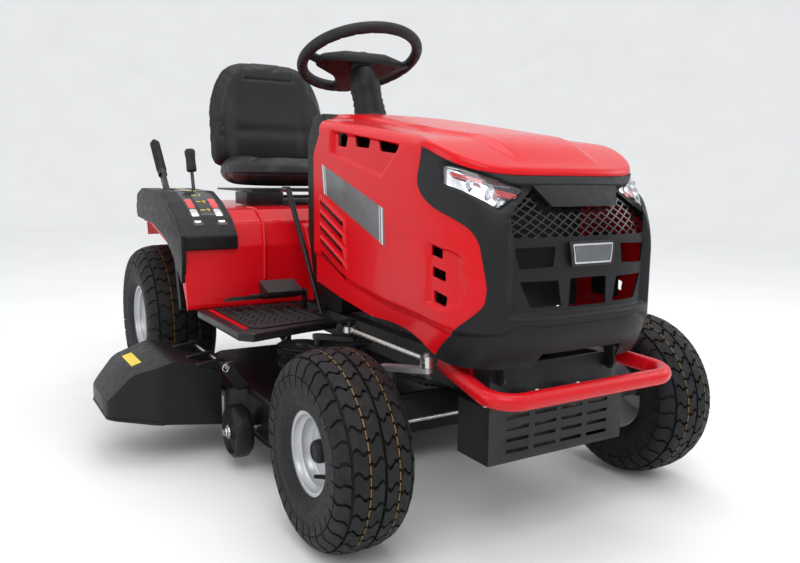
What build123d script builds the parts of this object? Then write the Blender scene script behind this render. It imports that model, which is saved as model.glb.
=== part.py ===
from build123d import *
import math
import os

# Riding lawn mower. The front faces -Y, the operator's right is -X, +Z is up.
# The origin is on the ground, under the middle of the rear axle. Millimetres.

os.makedirs("parts", exist_ok=True)

# ---------------------------------------------------------------- running gear
wheelbase = 1250.0
front_track = 800.0
rear_track = 800.0
front_tyre_radius = 190.5
front_tyre_width = 155.0
front_bead_radius = 76.0
front_flange_radius = 87.0
front_rim_width = 116.0
rear_tyre_radius = 235.0
rear_tyre_width = 210.0
rear_bead_radius = 101.0
rear_flange_radius = 112.0
rear_rim_width = 170.0
tyre_wall = 12.0
rim_sheet = 3.0
front_stub_radius = 10.0
rear_shaft_radius = 12.5
hub_wall = 10.0
running_clearance = 0.05

front_axle_y = -wheelbase
kingpin_x = 290.0
kingpin_radius = 10.0
kingpin_tube_radius = 17.0
kingpin_tube_bottom = 206.0
kingpin_tube_top = 328.0
beam_z = 248.0
beam_size = 38.0
pivot_pin_radius = 10.0
steering_arm_reach = 70.0
tie_rod_radius = 7.0
drag_link_length = 320.0
joint_gap = 1.0
link_lift = 15.0
link_radius = 6.0
link_eye_clearance = 5.0

# ----------------------------------------------------------------------- frame
rail_outer = 160.0
rail_flange = 34.0
rail_sheet = 4.0
rail_bottom = 290.0
rail_top = 350.0
rail_front = -1400.0
rail_rear = 200.0
bumper_tube_radius = 16.0
bumper_half_width = 228.0
bumper_y = -1514.0
bumper_z = 318.0
bumper_plate_sheet = 8.0
hitch_hole_radius = 9.5
hitch_plate_sheet = 8.0
hitch_plate_length = 168.0
hitch_hole_edge = 28.0

# ------------------------------------------------------------------------ deck
deck_wall = 4.0
deck_bottom = 72.0
deck_top = 178.0
blade_half_length = 236.0
blade_width = 56.0
blade_z = 98.0
blade_sheet = 4.0
right_spindle = (-180.0, -580.0)
left_spindle = (280.0, -715.0)
spindle_radius = 12.5
pulley_radius = 66.0
groove_radius = 56.0
pulley_z = 222.0
pulley_height = 22.0
belt_height = 9.0
belt_gap = 0.6
engine_pulley_y = -1010.0
lift_arm_drop = 90.0
lift_arm_run = 150.0
lift_arm_sheet = 12.0
lift_arm_inner = 172.0
lift_shaft_radius = 12.5
lift_shaft_z = 325.0
front_lift_y = -830.0
rear_lift_y = -330.0
deck_pin_radius = 8.0
gauge_wheel_radius = 63.5
gauge_wheel_width = 44.0
gauge_wheel_z = 94.0
gauge_axle_radius = 8.0
gauge_right = (-440.0, -800.0)
gauge_left = (562.0, -850.0)
deflector_wall = 4.0
deflector_hinge = (-446.0, 238.0)
hinge_rod_radius = 5.0

# ------------------------------------------------------------------ upper body
hood_half_width = 235.0
hood_wall = 4.0
hood_nose_radius = 250.0
hood_nose_y = -1496.0
hood_rear_y = -716.0
hood_hinge = (-1410.0, 385.0)
hood_pin_radius = 7.0
hood_pin_end = 173.0
hood_ear_x = 142.0
hood_gap = 2.0
bezel_back_y = -1336.0
hood_seam_drop = 62.0
hood_shoulder = 30.0
console_half_width = 165.0
console_wall = 4.0
console_rear_y = -600.0
column_radius = 43.0
column_shaft_radius = 10.0
column_tilt = 22.0
steering_wheel_y = -586.0
steering_wheel_z = 1020.0
steering_wheel_radius = 160.0
steering_rim_radius = 15.0
fender_half_width = 490.0
fender_wall = 4.0
fender_top = 604.0
tunnel_half_width = 282.0
footrest_inner = 212.0
footrest_outer = 470.0
footrest_front = -931.0
footrest_rear = -582.0
footrest_bottom = 335.0
footrest_sheet = 4.0
footrest_height = 20.0
mat_sheet = 6.0
seat_half_width = 222.0
seat_pivot = (-240.0, 632.0)
seat_pin_radius = 5.0
seat_pan_z = 646.0
seat_pan_sheet = 6.0
seat_top = 1100.0
seat_lean = 6.0
cushion_height = 82.0
backrest_depth = 72.0


def save(builder, label):
    builder.part.label = label
    export_step(builder.part, f"parts/{label}.step")


def rod_x(start, end, y, z, radius, mode=Mode.ADD):
    """A round bar or bore along X."""
    with BuildSketch(Plane.YZ.offset(start)) as disc:
        with Locations((y, z)):
            Circle(radius)
    extrude(disc.sketch, amount=end - start, mode=mode)


def rod_y(start, end, x, z, radius, mode=Mode.ADD):
    """A round bar or bore along Y."""
    with BuildSketch(Plane.XZ.offset(-start)) as disc:
        with Locations((x, z)):
            Circle(radius)
    extrude(disc.sketch, amount=start - end, mode=mode)


def rod_z(start, end, x, y, radius, mode=Mode.ADD):
    """A round bar or bore along Z."""
    with BuildSketch(Plane.XY.offset(start)) as disc:
        with Locations((x, y)):
            Circle(radius)
    extrude(disc.sketch, amount=end - start, mode=mode)


def block(low, high, mode=Mode.ADD):
    """A rectangular block between two corners."""
    with BuildSketch(Plane.XY.offset(low[2])) as base:
        with Locations(((low[0] + high[0]) / 2, (low[1] + high[1]) / 2)):
            Rectangle(high[0] - low[0], high[1] - low[1])
    extrude(base.sketch, amount=high[2] - low[2], mode=mode)


def side_plate(start, end, points, mode=Mode.ADD, corner=0.0):
    """A plate drawn from the side, in Y and Z, and extruded along X."""
    with BuildSketch(Plane.YZ.offset(start)) as outline:
        with BuildLine():
            Polyline(*points, close=True)
        make_face()
        if corner:
            fillet(outline.vertices(), radius=corner)
    extrude(outline.sketch, amount=end - start, mode=mode)


def link_plate(start, end, points, width, mode=Mode.ADD):
    """A flat bar with round ends that follows a line in Y and Z."""
    for first, second in zip(points, points[1:]):
        with BuildSketch(Plane.YZ.offset(start)) as outline:
            with Locations(first, second):
                Circle(width / 2)
            make_hull()
        extrude(outline.sketch, amount=end - start, mode=mode)


# ----------------------------------------------------------------------- wheels
def tyre(label, x, y, radius, width, bead_radius, flange_radius, rim_width):
    """A hollow tyre casing, open at the bead."""
    plane = Plane(origin=(x, y, radius), x_dir=(1, 0, 0), z_dir=(0, -1, 0))
    bead = rim_width / 2 - rim_sheet
    shoulder = (width / 2 - 16.0, radius - 13.0)
    bulge = (width / 2, (bead_radius + radius) / 2)
    with BuildPart() as casing:
        with BuildSketch(plane) as section:
            with BuildLine():
                Line((-bead, bead_radius), (bead, bead_radius))
                Line((bead, bead_radius), (bead, flange_radius + 4))
                ThreePointArc((bead, flange_radius + 4), bulge, shoulder)
                ThreePointArc(shoulder, (0, radius), (-shoulder[0], shoulder[1]))
                ThreePointArc((-shoulder[0], shoulder[1]), (-bulge[0], bulge[1]), (-bead, flange_radius + 4))
                Line((-bead, flange_radius + 4), (-bead, bead_radius))
            make_face()
        revolve(axis=Axis((x, y, radius), (1, 0, 0)))
        with BuildSketch(plane) as cavity:
            with BuildLine():
                Line((-bead + tyre_wall, bead_radius), (bead - tyre_wall, bead_radius))
                Line((bead - tyre_wall, bead_radius), (width / 2 - 2 * tyre_wall, bulge[1]))
                Line((width / 2 - 2 * tyre_wall, bulge[1]), (shoulder[0] - tyre_wall, shoulder[1] - tyre_wall))
                Line(
                    (shoulder[0] - tyre_wall, shoulder[1] - tyre_wall),
                    (-shoulder[0] + tyre_wall, shoulder[1] - tyre_wall),
                )
                Line((-shoulder[0] + tyre_wall, shoulder[1] - tyre_wall), (-width / 2 + 2 * tyre_wall, bulge[1]))
                Line((-width / 2 + 2 * tyre_wall, bulge[1]), (-bead + tyre_wall, bead_radius))
            make_face()
        revolve(axis=Axis((x, y, radius), (1, 0, 0)), mode=Mode.SUBTRACT)
    save(casing, label)


def rim(label, side, x, y, z, bead_radius, flange_radius, rim_width, bore_radius, hub_inner, hub_outer):
    """A pressed wheel rim with a dished disc, a hub tube and a hub cap on its outer side."""
    plane = Plane(origin=(x, y, z), x_dir=(side, 0, 0), z_dir=(0, -side, 0))
    half = rim_width / 2
    disc = half * 0.35
    seat = bead_radius - 0.1
    barrel = seat - rim_sheet
    hub_radius = bore_radius + hub_wall
    with BuildPart() as wheel:
        with BuildSketch(plane):
            with BuildLine():
                Polyline(
                    (-half, flange_radius),
                    (-half + rim_sheet - 0.1, flange_radius),
                    (-half + rim_sheet - 0.1, seat),
                    (half - rim_sheet + 0.1, seat),
                    (half - rim_sheet + 0.1, flange_radius),
                    (half, flange_radius),
                    (half, barrel),
                    (disc + rim_sheet + 14.0, barrel),
                    (disc + rim_sheet, barrel - 14.0),
                    (disc + rim_sheet, hub_radius),
                    (hub_outer, hub_radius),
                    (hub_outer, bore_radius),
                    (hub_inner, bore_radius),
                    (hub_inner, hub_radius),
                    (disc, hub_radius),
                    (disc, barrel - 12.0),
                    (disc + 12.0, barrel),
                    (-half, barrel),
                    close=True,
                )
            make_face()
        revolve(axis=Axis((x, y, z), (1, 0, 0)))
        with BuildSketch(plane):
            with BuildLine():
                Line((hub_outer + 0.5, 0), (hub_outer + 14.0, 0))
                Line((hub_outer + 14.0, 0), (hub_outer + 14.0, hub_radius - 4.0))
                Line((hub_outer + 14.0, hub_radius - 4.0), (hub_outer + 6.0, hub_radius + 4.0))
                Line((hub_outer + 6.0, hub_radius + 4.0), (hub_outer + 0.5, hub_radius + 4.0))
                Line((hub_outer + 0.5, hub_radius + 4.0), (hub_outer + 0.5, 0))
            make_face()
        revolve(axis=Axis((x, y, z), (1, 0, 0)))
    return wheel


def front_wheel(name, side):
    x = side * front_track / 2
    bore = front_stub_radius + running_clearance
    hub_inner = kingpin_x + kingpin_tube_radius + 6.0 - front_track / 2
    tyre(
        f"front_tyre_{name}", x, front_axle_y, front_tyre_radius, front_tyre_width,
        front_bead_radius, front_flange_radius, front_rim_width,
    )
    wheel = rim(
        f"front_rim_{name}", side, x, front_axle_y, front_tyre_radius,
        front_bead_radius, front_flange_radius, front_rim_width, bore, hub_inner, front_rim_width / 2 - 14.0,
    )
    save(wheel, f"front_rim_{name}")


transaxle_half_width = 236.0


def rear_wheel(name, side):
    x = side * rear_track / 2
    tyre(
        f"rear_tyre_{name}", x, 0.0, rear_tyre_radius, rear_tyre_width,
        rear_bead_radius, rear_flange_radius, rear_rim_width,
    )
    hub_outer = rear_rim_width / 2 - 30.0
    hub_inner = transaxle_half_width + 6.0 - rear_track / 2
    wheel = rim(
        f"rear_rim_{name}", side, x, 0.0, rear_tyre_radius,
        rear_bead_radius, rear_flange_radius, rear_rim_width, rear_shaft_radius, hub_inner, hub_outer,
    )
    with BuildPart() as driven:
        add(wheel.part)
        rod_x(side * 150.0, x + side * hub_outer, 0.0, rear_tyre_radius, rear_shaft_radius)
    save(driven, f"rear_rim_{name}")


# ----------------------------------------------------------- front axle, steering
def make_front_axle():
    """Beam with a kingpin tube at each end and a centre boss that rocks on the pivot pin."""
    half = beam_size / 2
    with BuildPart() as axle:
        block(
            (-kingpin_x, front_axle_y - half, beam_z - half),
            (kingpin_x, front_axle_y + half, beam_z + half),
        )
        for side in (-1, 1):
            rod_z(kingpin_tube_bottom, kingpin_tube_top, side * kingpin_x, front_axle_y, kingpin_tube_radius)
        rod_y(front_axle_y + 26, front_axle_y - 26, 0, beam_z, 28.0)
        rod_y(
            front_axle_y + 30, front_axle_y - 30, 0, beam_z,
            pivot_pin_radius + running_clearance, mode=Mode.SUBTRACT,
        )
        for side in (-1, 1):
            rod_z(
                kingpin_tube_bottom - 1, kingpin_tube_top + 1, side * kingpin_x, front_axle_y,
                kingpin_radius + running_clearance, mode=Mode.SUBTRACT,
            )
    save(axle, "front_axle")


tie_arm_top = kingpin_tube_bottom - joint_gap
tie_arm_bottom = tie_arm_top - 34.0
drag_arm_bottom = kingpin_tube_top + joint_gap
drag_arm_top = drag_arm_bottom + 10.0
drag_arm_end = (kingpin_x - 55.0, front_axle_y - 55.0)


def flat_arm(bottom, top, start, end, width, mode=Mode.ADD):
    """A flat arm with round ends, drawn from above."""
    with BuildSketch(Plane.XY.offset(bottom)) as outline:
        with Locations(start, end):
            Circle(width / 2)
        make_hull()
    extrude(outline.sketch, amount=top - bottom, mode=mode)


def make_spindle(name, side):
    """Kingpin, wheel stub and tie-rod arm in one forging. The right one also has the drag-link arm."""
    x = side * kingpin_x
    tie_pin_y = front_axle_y + steering_arm_reach
    stub_end = side * (front_track / 2 + front_rim_width / 2 - 14.0)
    with BuildPart() as spindle:
        rod_z(tie_arm_bottom, drag_arm_top, x, front_axle_y, kingpin_radius)
        rod_z(tie_arm_bottom, tie_arm_top, x, front_axle_y, kingpin_tube_radius)
        rod_x(x, stub_end, front_axle_y, front_tyre_radius, front_stub_radius)
        flat_arm(tie_arm_bottom, tie_arm_bottom + 10, (x, front_axle_y), (x, tie_pin_y), 22.0)
        rod_z(tie_arm_bottom, tie_arm_bottom + 32, x, tie_pin_y, 6.0)
        if side < 0:
            end = (side * drag_arm_end[0], drag_arm_end[1])
            flat_arm(drag_arm_bottom, drag_arm_top, (x, front_axle_y), end, 24.0)
            rod_z(drag_arm_bottom, drag_arm_top + 28, end[0], end[1], 6.0)
        else:
            rod_z(drag_arm_bottom, drag_arm_top, x, front_axle_y, kingpin_tube_radius - 3.0)
    save(spindle, f"spindle_{name}")


def make_tie_rod():
    """Rod between the two spindle arms, with an eye at the right end and an open eye at the left."""
    y = front_axle_y + steering_arm_reach
    z = tie_arm_bottom + 10 + joint_gap + 10.0
    with BuildPart() as rod:
        rod_x(-kingpin_x, kingpin_x, y, z, tie_rod_radius)
        for side in (-1, 1):
            rod_z(z - 10, z + 10, side * kingpin_x, y, 13.0)
        rod_z(z - 11, z + 11, -kingpin_x, y, 6.0 + running_clearance, mode=Mode.SUBTRACT)
        rod_z(z - 11, z + 11, kingpin_x, y, 6.0 + joint_gap, mode=Mode.SUBTRACT)
    save(rod, "tie_rod")


def make_drag_link():
    """Rod from the right spindle's upper arm back to the steering arm under the console."""
    x = -drag_arm_end[0]
    y = drag_arm_end[1]
    z = drag_arm_top + link_lift
    bottom = drag_arm_top + joint_gap
    with BuildPart() as rod:
        rod_y(y + drag_link_length, y, x, z, link_radius)
        rod_z(bottom, z + 8, x, y, 13.0)
        rod_z(z - 5, z + 8, x, y + drag_link_length, 15.0)
        rod_z(bottom - 1, z + 9, x, y, 6.0 + running_clearance, mode=Mode.SUBTRACT)
        rod_z(
            bottom - 1, z + 9, x, y + drag_link_length, 6.0 + link_eye_clearance, mode=Mode.SUBTRACT,
        )
    save(rod, "drag_link")


def make_pitman_arm():
    """Steering arm beside the right rail. It stays parallel to the spindle's upper arm."""
    base = (-kingpin_x, front_axle_y + drag_link_length)
    end = (-drag_arm_end[0], drag_arm_end[1] + drag_link_length)
    with BuildPart() as arm:
        flat_arm(drag_arm_bottom, drag_arm_top, base, end, 24.0)
        rod_z(drag_arm_bottom, drag_arm_top + 34, end[0], end[1], 6.0)
        rod_z(drag_arm_bottom - 14, drag_arm_bottom, base[0], base[1], 9.0)
    save(arm, "pitman_arm")


def make_front_frame():
    """Front crossmember, the axle carrier under the rails, its pivot pin and the steering bracket."""
    carrier_top = rail_bottom
    plate_gap = 30.0
    with BuildPart() as frame:
        block((-rail_outer, rail_front - 6, rail_bottom - 5), (rail_outer, rail_front, rail_top))
        block(
            (-rail_outer, front_axle_y - 44, carrier_top - 6),
            (rail_outer, front_axle_y + 44, carrier_top),
        )
        for low_y in (front_axle_y - plate_gap - 6, front_axle_y + plate_gap):
            side_y = low_y + 6
            with BuildSketch(Plane.XZ.offset(-side_y)):
                with BuildLine():
                    Polyline(
                        (-90, carrier_top - 6), (90, carrier_top - 6),
                        (30, beam_z - 26), (-30, beam_z - 26), close=True,
                    )
                make_face()
            extrude(amount=6)
        rod_y(front_axle_y + 44, front_axle_y - 44, 0, beam_z, pivot_pin_radius)
        for side in (-1, 1):
            ear = side * (hood_ear_x - 3)
            link_plate(ear, ear + side * 6, [(rail_front - 16, rail_top - 20), hood_hinge], 26.0)
        rod_x(
            -hood_ear_x - 5, hood_ear_x + 5, hood_hinge[0], hood_hinge[1],
            hood_pin_radius + running_clearance, mode=Mode.SUBTRACT,
        )
        arm_y = front_axle_y + drag_link_length
        bracket_top = drag_arm_bottom - 14 - joint_gap
        block((-kingpin_x - 16, arm_y - 20, bracket_top - 6), (-rail_outer, arm_y + 20, bracket_top))
        rod_z(
            bracket_top - 6, drag_arm_bottom - 14, -kingpin_x, arm_y,
            9.0 - 2 * joint_gap,
        )
    save(frame, "front_frame")


# ------------------------------------------------------------------------ frame
def make_rails():
    """Two pressed channel rails with bores for the lift shafts and the pedal shafts."""
    with BuildPart() as rails:
        for side in (-1, 1):
            with BuildSketch(Plane.XZ.offset(-rail_rear)):
                with Locations((side * (rail_outer - rail_sheet / 2), (rail_bottom + rail_top) / 2)):
                    Rectangle(rail_sheet, rail_top - rail_bottom)
                for z in (rail_bottom + rail_sheet / 2, rail_top - rail_sheet / 2):
                    with Locations((side * (rail_outer - rail_flange / 2), z)):
                        Rectangle(rail_flange, rail_sheet)
        extrude(amount=rail_rear - rail_front)
        bore = running_clearance
        reach = rail_outer + 1
        for y in (front_lift_y, rear_lift_y):
            rod_x(-reach, reach, y, lift_shaft_z, lift_shaft_radius + bore, mode=Mode.SUBTRACT)
        for y in (drive_pedal_pivot[0], brake_pedal_pivot[0], parking_pivot[0]):
            rod_x(-reach, reach, y, pedal_shaft_z, pedal_shaft_radius + bore, mode=Mode.SUBTRACT)
    save(rails, "frame_rails")


def make_hitch_plate():
    """Rear crossmember with a level tongue and the tow-hitch hole."""
    with BuildPart() as plate:
        block((-rail_outer, rail_rear, rail_bottom - 50), (rail_outer, rail_rear + 6, rail_top))
        block(
            (-60, rail_rear + 6, rail_bottom - 50),
            (60, rail_rear + 6 + hitch_plate_length, rail_bottom - 50 + hitch_plate_sheet),
        )
        fillet(
            plate.edges().filter_by(Axis.Z).group_by(Axis.Y)[-1], radius=18,
        )
        rod_z(
            rail_bottom - 60, rail_bottom, 0, rail_rear + 6 + hitch_plate_length - hitch_hole_edge,
            hitch_hole_radius, mode=Mode.SUBTRACT,
        )
    save(plate, "rear_hitch_plate")


def make_bumper():
    """Bent tube bumper with its two mounting plates."""
    foot_x = rail_outer + bumper_plate_sheet + bumper_tube_radius
    foot_y = rail_front + 110
    with BuildPart() as bumper:
        with BuildLine() as path:
            FilletPolyline(
                (-foot_x, foot_y, rail_top - 14),
                (-bumper_half_width, bumper_y, bumper_z),
                (bumper_half_width, bumper_y, bumper_z),
                (foot_x, foot_y, rail_top - 14),
                radius=48,
            )
        with BuildSketch(Plane(origin=path.line @ 0, z_dir=path.line % 0)):
            Circle(bumper_tube_radius)
        sweep()
        for side in (-1, 1):
            side_plate(
                side * rail_outer, side * (rail_outer + bumper_plate_sheet),
                [(foot_y + 24, rail_top - 2), (foot_y - 64, rail_top - 2),
                 (foot_y - 64, rail_top - 34), (foot_y + 24, rail_top - 34)],
            )
    save(bumper, "bumper")


bolt_radius = 7.0
bolt_height = 6.0


def make_frame_bolts():
    """Hexagon bolt heads that hold the bumper plates, the muffler guard and the footrests."""
    outer = rail_outer + bumper_plate_sheet
    with BuildPart() as bolts:
        for side in (-1, 1):
            plane = Plane(origin=(side * outer, 0, 0), x_dir=(0, side, 0), z_dir=(side, 0, 0))
            with BuildSketch(plane):
                with Locations((side * (rail_front + 128), rail_top - 22)):
                    RegularPolygon(bolt_radius, 6)
            extrude(amount=bolt_height)
        with BuildSketch(Plane.XZ.offset(guard_front + guard_sheet)):
            with Locations((-82, guard_top + guard_tab - 12), (22, guard_top + guard_tab - 12)):
                RegularPolygon(bolt_radius, 6)
        extrude(amount=bolt_height)
    save(bolts, "frame_bolts")


# --------------------------------------------------------------- engine, exhaust
guard_left = 155.0
guard_right = -186.0
guard_bottom = 176.0
guard_top = 284.0
guard_front = 1440.0
guard_depth = 96.0
guard_sheet = 3.0
guard_tab = 34.0
muffler_radius = 38.0
engine_half = 130.0
engine_top = 505.0


def make_engine():
    """Vertical-shaft engine block with its finned cylinder."""
    with BuildPart() as engine:
        block(
            (-engine_half, engine_pulley_y - 140, rail_top),
            (engine_half, engine_pulley_y + 130, engine_top - 20),
        )
        fillet(engine.edges().filter_by(Axis.Z), radius=30)
        block((-70, engine_pulley_y - 255, rail_top + 20), (70, engine_pulley_y - 140, rail_top + 130))
        for step in range(5):
            low = engine_pulley_y - 245 + step * 22
            block((-84, low, rail_top + 10), (84, low + 5, rail_top + 140))
        rod_z(pulley_z + 70, rail_top, 0, engine_pulley_y, 34.0)
        rod_z(pulley_z + 69, rail_top, 0, engine_pulley_y, spindle_radius + running_clearance, mode=Mode.SUBTRACT)
    save(engine, "engine_block")


def make_blower():
    """Fan housing on top of the engine, with a round screen."""
    with BuildPart() as blower:
        rod_z(engine_top - 20, engine_top + 50, 0, engine_pulley_y, engine_half)
        fillet(blower.edges().group_by(Axis.Z)[-1], radius=18)
        rod_z(engine_top + 50, engine_top + 62, 0, engine_pulley_y, 70.0)
        block(
            (40, engine_pulley_y - 60, engine_top + 10),
            (engine_half + 34, engine_pulley_y + 90, engine_top + 70),
        )
    save(blower, "blower_housing")


def make_crank_pulley():
    """Engine shaft end with the deck belt's pulley and the drive belt's pulley."""
    with BuildPart() as crank:
        rod_z(pulley_z - 16, rail_top - 10, 0, engine_pulley_y, spindle_radius)
        v_pulley(0, engine_pulley_y, pulley_z)
        rod_z(pulley_z + 34, pulley_z + 52, 0, engine_pulley_y, 44.0)
    save(crank, "crank_pulley")


def v_pulley(x, y, z):
    """A grooved pulley about a vertical axis."""
    half = pulley_height / 2
    plane = Plane(origin=(x, y, z), x_dir=(1, 0, 0), z_dir=(0, -1, 0))
    with BuildSketch(plane) as section:
        with BuildLine():
            Polyline(
                (0, -half), (pulley_radius, -half), (groove_radius, -half / 2 - 1), (groove_radius, half / 2 + 1),
                (pulley_radius, half), (0, half), close=True,
            )
        make_face()
    revolve(section.sketch, axis=Axis((x, y, z), (0, 0, 1)))


def make_muffler():
    """Round muffler across the front, with its pipe up to the cylinder."""
    y = -guard_front + guard_depth / 2
    z = (guard_bottom + guard_top) / 2
    with BuildPart() as muffler:
        rod_x(guard_right + 20, guard_left - 20, y, z, muffler_radius)
        fillet(muffler.edges(), radius=10)
        rod_z(z, rail_bottom + 20, 60, y + 12, 14.0)
    save(muffler, "muffler")


def make_muffler_guard():
    """Slotted sheet guard around the muffler, hung from the front crossmember by two tabs."""
    front = -guard_front
    back = front + guard_depth
    with BuildPart() as guard:
        block((guard_right, front, guard_bottom), (guard_left, front + guard_sheet, guard_top))
        block((guard_right, front, guard_bottom), (guard_left, back, guard_bottom + guard_sheet))
        block((guard_right, front, guard_bottom), (guard_right + guard_sheet, back, guard_top))
        block((guard_left - guard_sheet, front, guard_bottom), (guard_left, back, guard_top))
        for x in (-82, 22):
            block((x - 20, front, guard_top - 20), (x + 20, front + guard_sheet, guard_top + guard_tab - 24))
            block(
                (x - 20, front, guard_top + guard_tab - 27),
                (x + 20, rail_front - 6, guard_top + guard_tab - 24),
            )
        span = guard_left - guard_right
        with BuildSketch(Plane.XZ.offset(-front - guard_sheet - 1)):
            with Locations(((guard_left + guard_right) / 2, (guard_bottom + guard_top) / 2)):
                with GridLocations(span / 5, 22, 4, 4):
                    Rectangle(span / 5 - 14, 7)
        extrude(amount=guard_sheet + 2, mode=Mode.SUBTRACT)
    save(guard, "muffler_guard")


def make_transaxle():
    """Cast transaxle between the rails, with an axle tube on each side and the input pulley on top."""
    with BuildPart() as box:
        block((-110, -110, 160), (110, 100, 282))
        fillet(box.edges().filter_by(Axis.X), radius=24)
        rod_x(-transaxle_half_width, transaxle_half_width, 0, rear_tyre_radius, 32.0)
        bore = rear_shaft_radius + running_clearance
        for side in (-1, 1):
            rod_x(
                side * 149.0, side * (transaxle_half_width + 1), 0, rear_tyre_radius, bore, mode=Mode.SUBTRACT,
            )
            block(
                (side * 130 - 10, -30, rear_tyre_radius + 20),
                (side * 130 + 10, 30, rail_bottom),
            )
        rod_z(282, 300, 0, -40, 20.0)
        rod_z(300, 318, 0, -40, 70.0)
    save(box, "transaxle")


def make_fuel_tank():
    """Fuel tank under the rear of the fender body."""
    with BuildPart() as tank:
        block((-150, 30, rail_top + 10), (150, 260, rail_top + 150))
        fillet(tank.edges().filter_by(Axis.Z), radius=24)
        rod_z(rail_top + 150, rail_top + 175, 90, 200, 32.0)
    save(tank, "fuel_tank")


def make_battery():
    """Battery on the rails under the seat."""
    with BuildPart() as battery:
        block((-98, -230, rail_top), (98, -100, rail_top + 155))
        for x in (-74, 74):
            rod_z(rail_top + 155, rail_top + 168, x, -130, 8.0)
    save(battery, "battery")


# ------------------------------------------------------------------------- hood
hood_top_line = [
    (hood_nose_y - 40, 705.0),
    (hood_nose_y + 60, 716.0),
    (hood_nose_y + 330, 785.0),
    (hood_rear_y - 160, 838.0),
    (hood_rear_y, 862.0),
]
hood_bottom_line = [(hood_rear_y + 60, 428.0), (hood_nose_y + 300, 404.0), (hood_nose_y + 150, 372.0)]
hood_chin_z = 366.0


def hood_form(inset):
    """The hood's outer form, or its inside when it is inset by the wall."""
    half = hood_half_width - inset
    radius = hood_nose_radius - inset
    nose = hood_nose_y + inset
    centre_y = hood_nose_y + hood_nose_radius
    corner_y = centre_y - math.sqrt(radius * radius - half * half)
    extra = 40.0 if inset else 0.0
    with BuildPart() as form:
        with BuildSketch(Plane.YZ):
            with BuildLine():
                line = Spline(*[(y, z - inset) for y, z in hood_top_line])
                Polyline(
                    line @ 1,
                    (hood_rear_y, hood_bottom_line[0][1] - extra),
                    *[(y, z - extra) for y, z in hood_bottom_line[1:]],
                    (hood_nose_y - 40, hood_chin_z - extra),
                    line @ 0,
                )
            make_face()
        extrude(amount=half, both=True)
        with BuildSketch(Plane.XY.offset(hood_chin_z - 60)):
            with BuildLine():
                ThreePointArc((-half, corner_y), (0, nose), (half, corner_y))
                Polyline(
                    (half, corner_y), (half, hood_rear_y + extra + 1),
                    (-half, hood_rear_y + extra + 1), (-half, corner_y),
                )
            make_face()
        extrude(amount=600, mode=Mode.INTERSECT)
        flanks = form.faces().filter_by(GeomType.PLANE).sort_by(Axis.X)
        shoulders = [flank.edges().sort_by(Axis.Z)[-1] for flank in (flanks[0], flanks[-1])]
        fillet(shoulders, radius=hood_shoulder - inset)
    return form


def hood_shell():
    outer = hood_form(0.0)
    with BuildPart() as cavity:
        add(hood_form(hood_wall).part)
        block(
            (-hood_half_width + hood_wall, hood_rear_y - 60, hood_chin_z - 60),
            (hood_half_width - hood_wall, hood_rear_y + 60, 790.0),
        )
    with BuildPart() as shell:
        add(outer.part)
        add(cavity.part, mode=Mode.SUBTRACT)
    return shell


def keep_seam(points, mode):
    side_plate(-hood_half_width - 60, hood_half_width + 60, points, mode=mode)


def make_hood():
    """The hood shell is three mouldings: a top, a pair of sides and the grille bezel."""
    shell = hood_shell()
    far = hood_rear_y + 200
    seam = [(y, z - hood_seam_drop) for y, z in hood_top_line]
    above = seam + [(far, seam[-1][1]), (far, 1000), (hood_nose_y - 200, 1000), (hood_nose_y - 200, seam[0][1])]
    below = [(y, z - hood_gap) for y, z in seam]
    below += [(far, seam[-1][1] - hood_gap), (far, 200), (hood_nose_y - 200, 200)]
    below += [(hood_nose_y - 200, seam[0][1] - hood_gap)]
    wide = hood_half_width + 60
    with BuildPart() as top:
        add(shell.part)
        keep_seam(above, Mode.INTERSECT)
        block((-wide, bezel_back_y + hood_gap, 300), (wide, far, 1100), mode=Mode.INTERSECT)
    save(top, "hood_top")
    with BuildPart() as sides:
        add(shell.part)
        keep_seam(below, Mode.INTERSECT)
        block((-wide, bezel_back_y + hood_gap, 300), (wide, far, 1100), mode=Mode.INTERSECT)
        for side in (-1, 1):
            louvre_cuts(side)
    save(sides, "hood_sides")
    make_bezel(shell)


def louvre_cuts(side):
    """Five slanted cooling slots at the rear of a side panel and three above them."""
    for step in range(5):
        y = hood_rear_y - 70
        z = 480.0 + step * 32
        side_plate(
            side * (hood_half_width - 10), side * (hood_half_width + 10),
            [(y, z), (y + 44, z + 26), (y + 44, z + 38), (y, z + 12)], mode=Mode.SUBTRACT,
        )
    for step in range(3):
        y = hood_rear_y - 110 - step * 66
        side_plate(
            side * (hood_half_width - 10), side * (hood_half_width + 10),
            [(y, 724), (y + 50, 738), (y + 50, 756), (y, 742)], mode=Mode.SUBTRACT,
        )
    for step in range(3):
        z = 500.0 + step * 40
        side_plate(
            side * (hood_half_width - 10), side * (hood_half_width + 10),
            [(bezel_back_y + 34, z), (bezel_back_y + 70, z), (bezel_back_y + 70, z + 26), (bezel_back_y + 34, z + 26)],
            mode=Mode.SUBTRACT,
        )


grille_bottom = 462.0
grille_middle = 560.0
grille_top = 645.0
grille_half = 150.0
lamp_inner = 138.0
lamp_outer = 214.0
lamp_bottom = 636.0
lamp_top = 682.0


def front_outline(points, mode, depth=220.0):
    """A shape drawn from the front, in X and Z, and pushed back through the nose."""
    with BuildSketch(Plane.XZ.offset(-hood_nose_y + 40)) as outline:
        with BuildLine():
            Polyline(*points, close=True)
        make_face()
    extrude(outline.sketch, amount=-depth, mode=mode)


def lamp_outline(side, inset):
    return [
        (side * (lamp_inner + inset), lamp_top - 14 - inset),
        (side * (lamp_outer - inset), lamp_top - inset),
        (side * (lamp_outer - inset), lamp_bottom + inset),
        (side * (lamp_inner + 24), lamp_bottom + 6 + inset),
    ]


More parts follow.
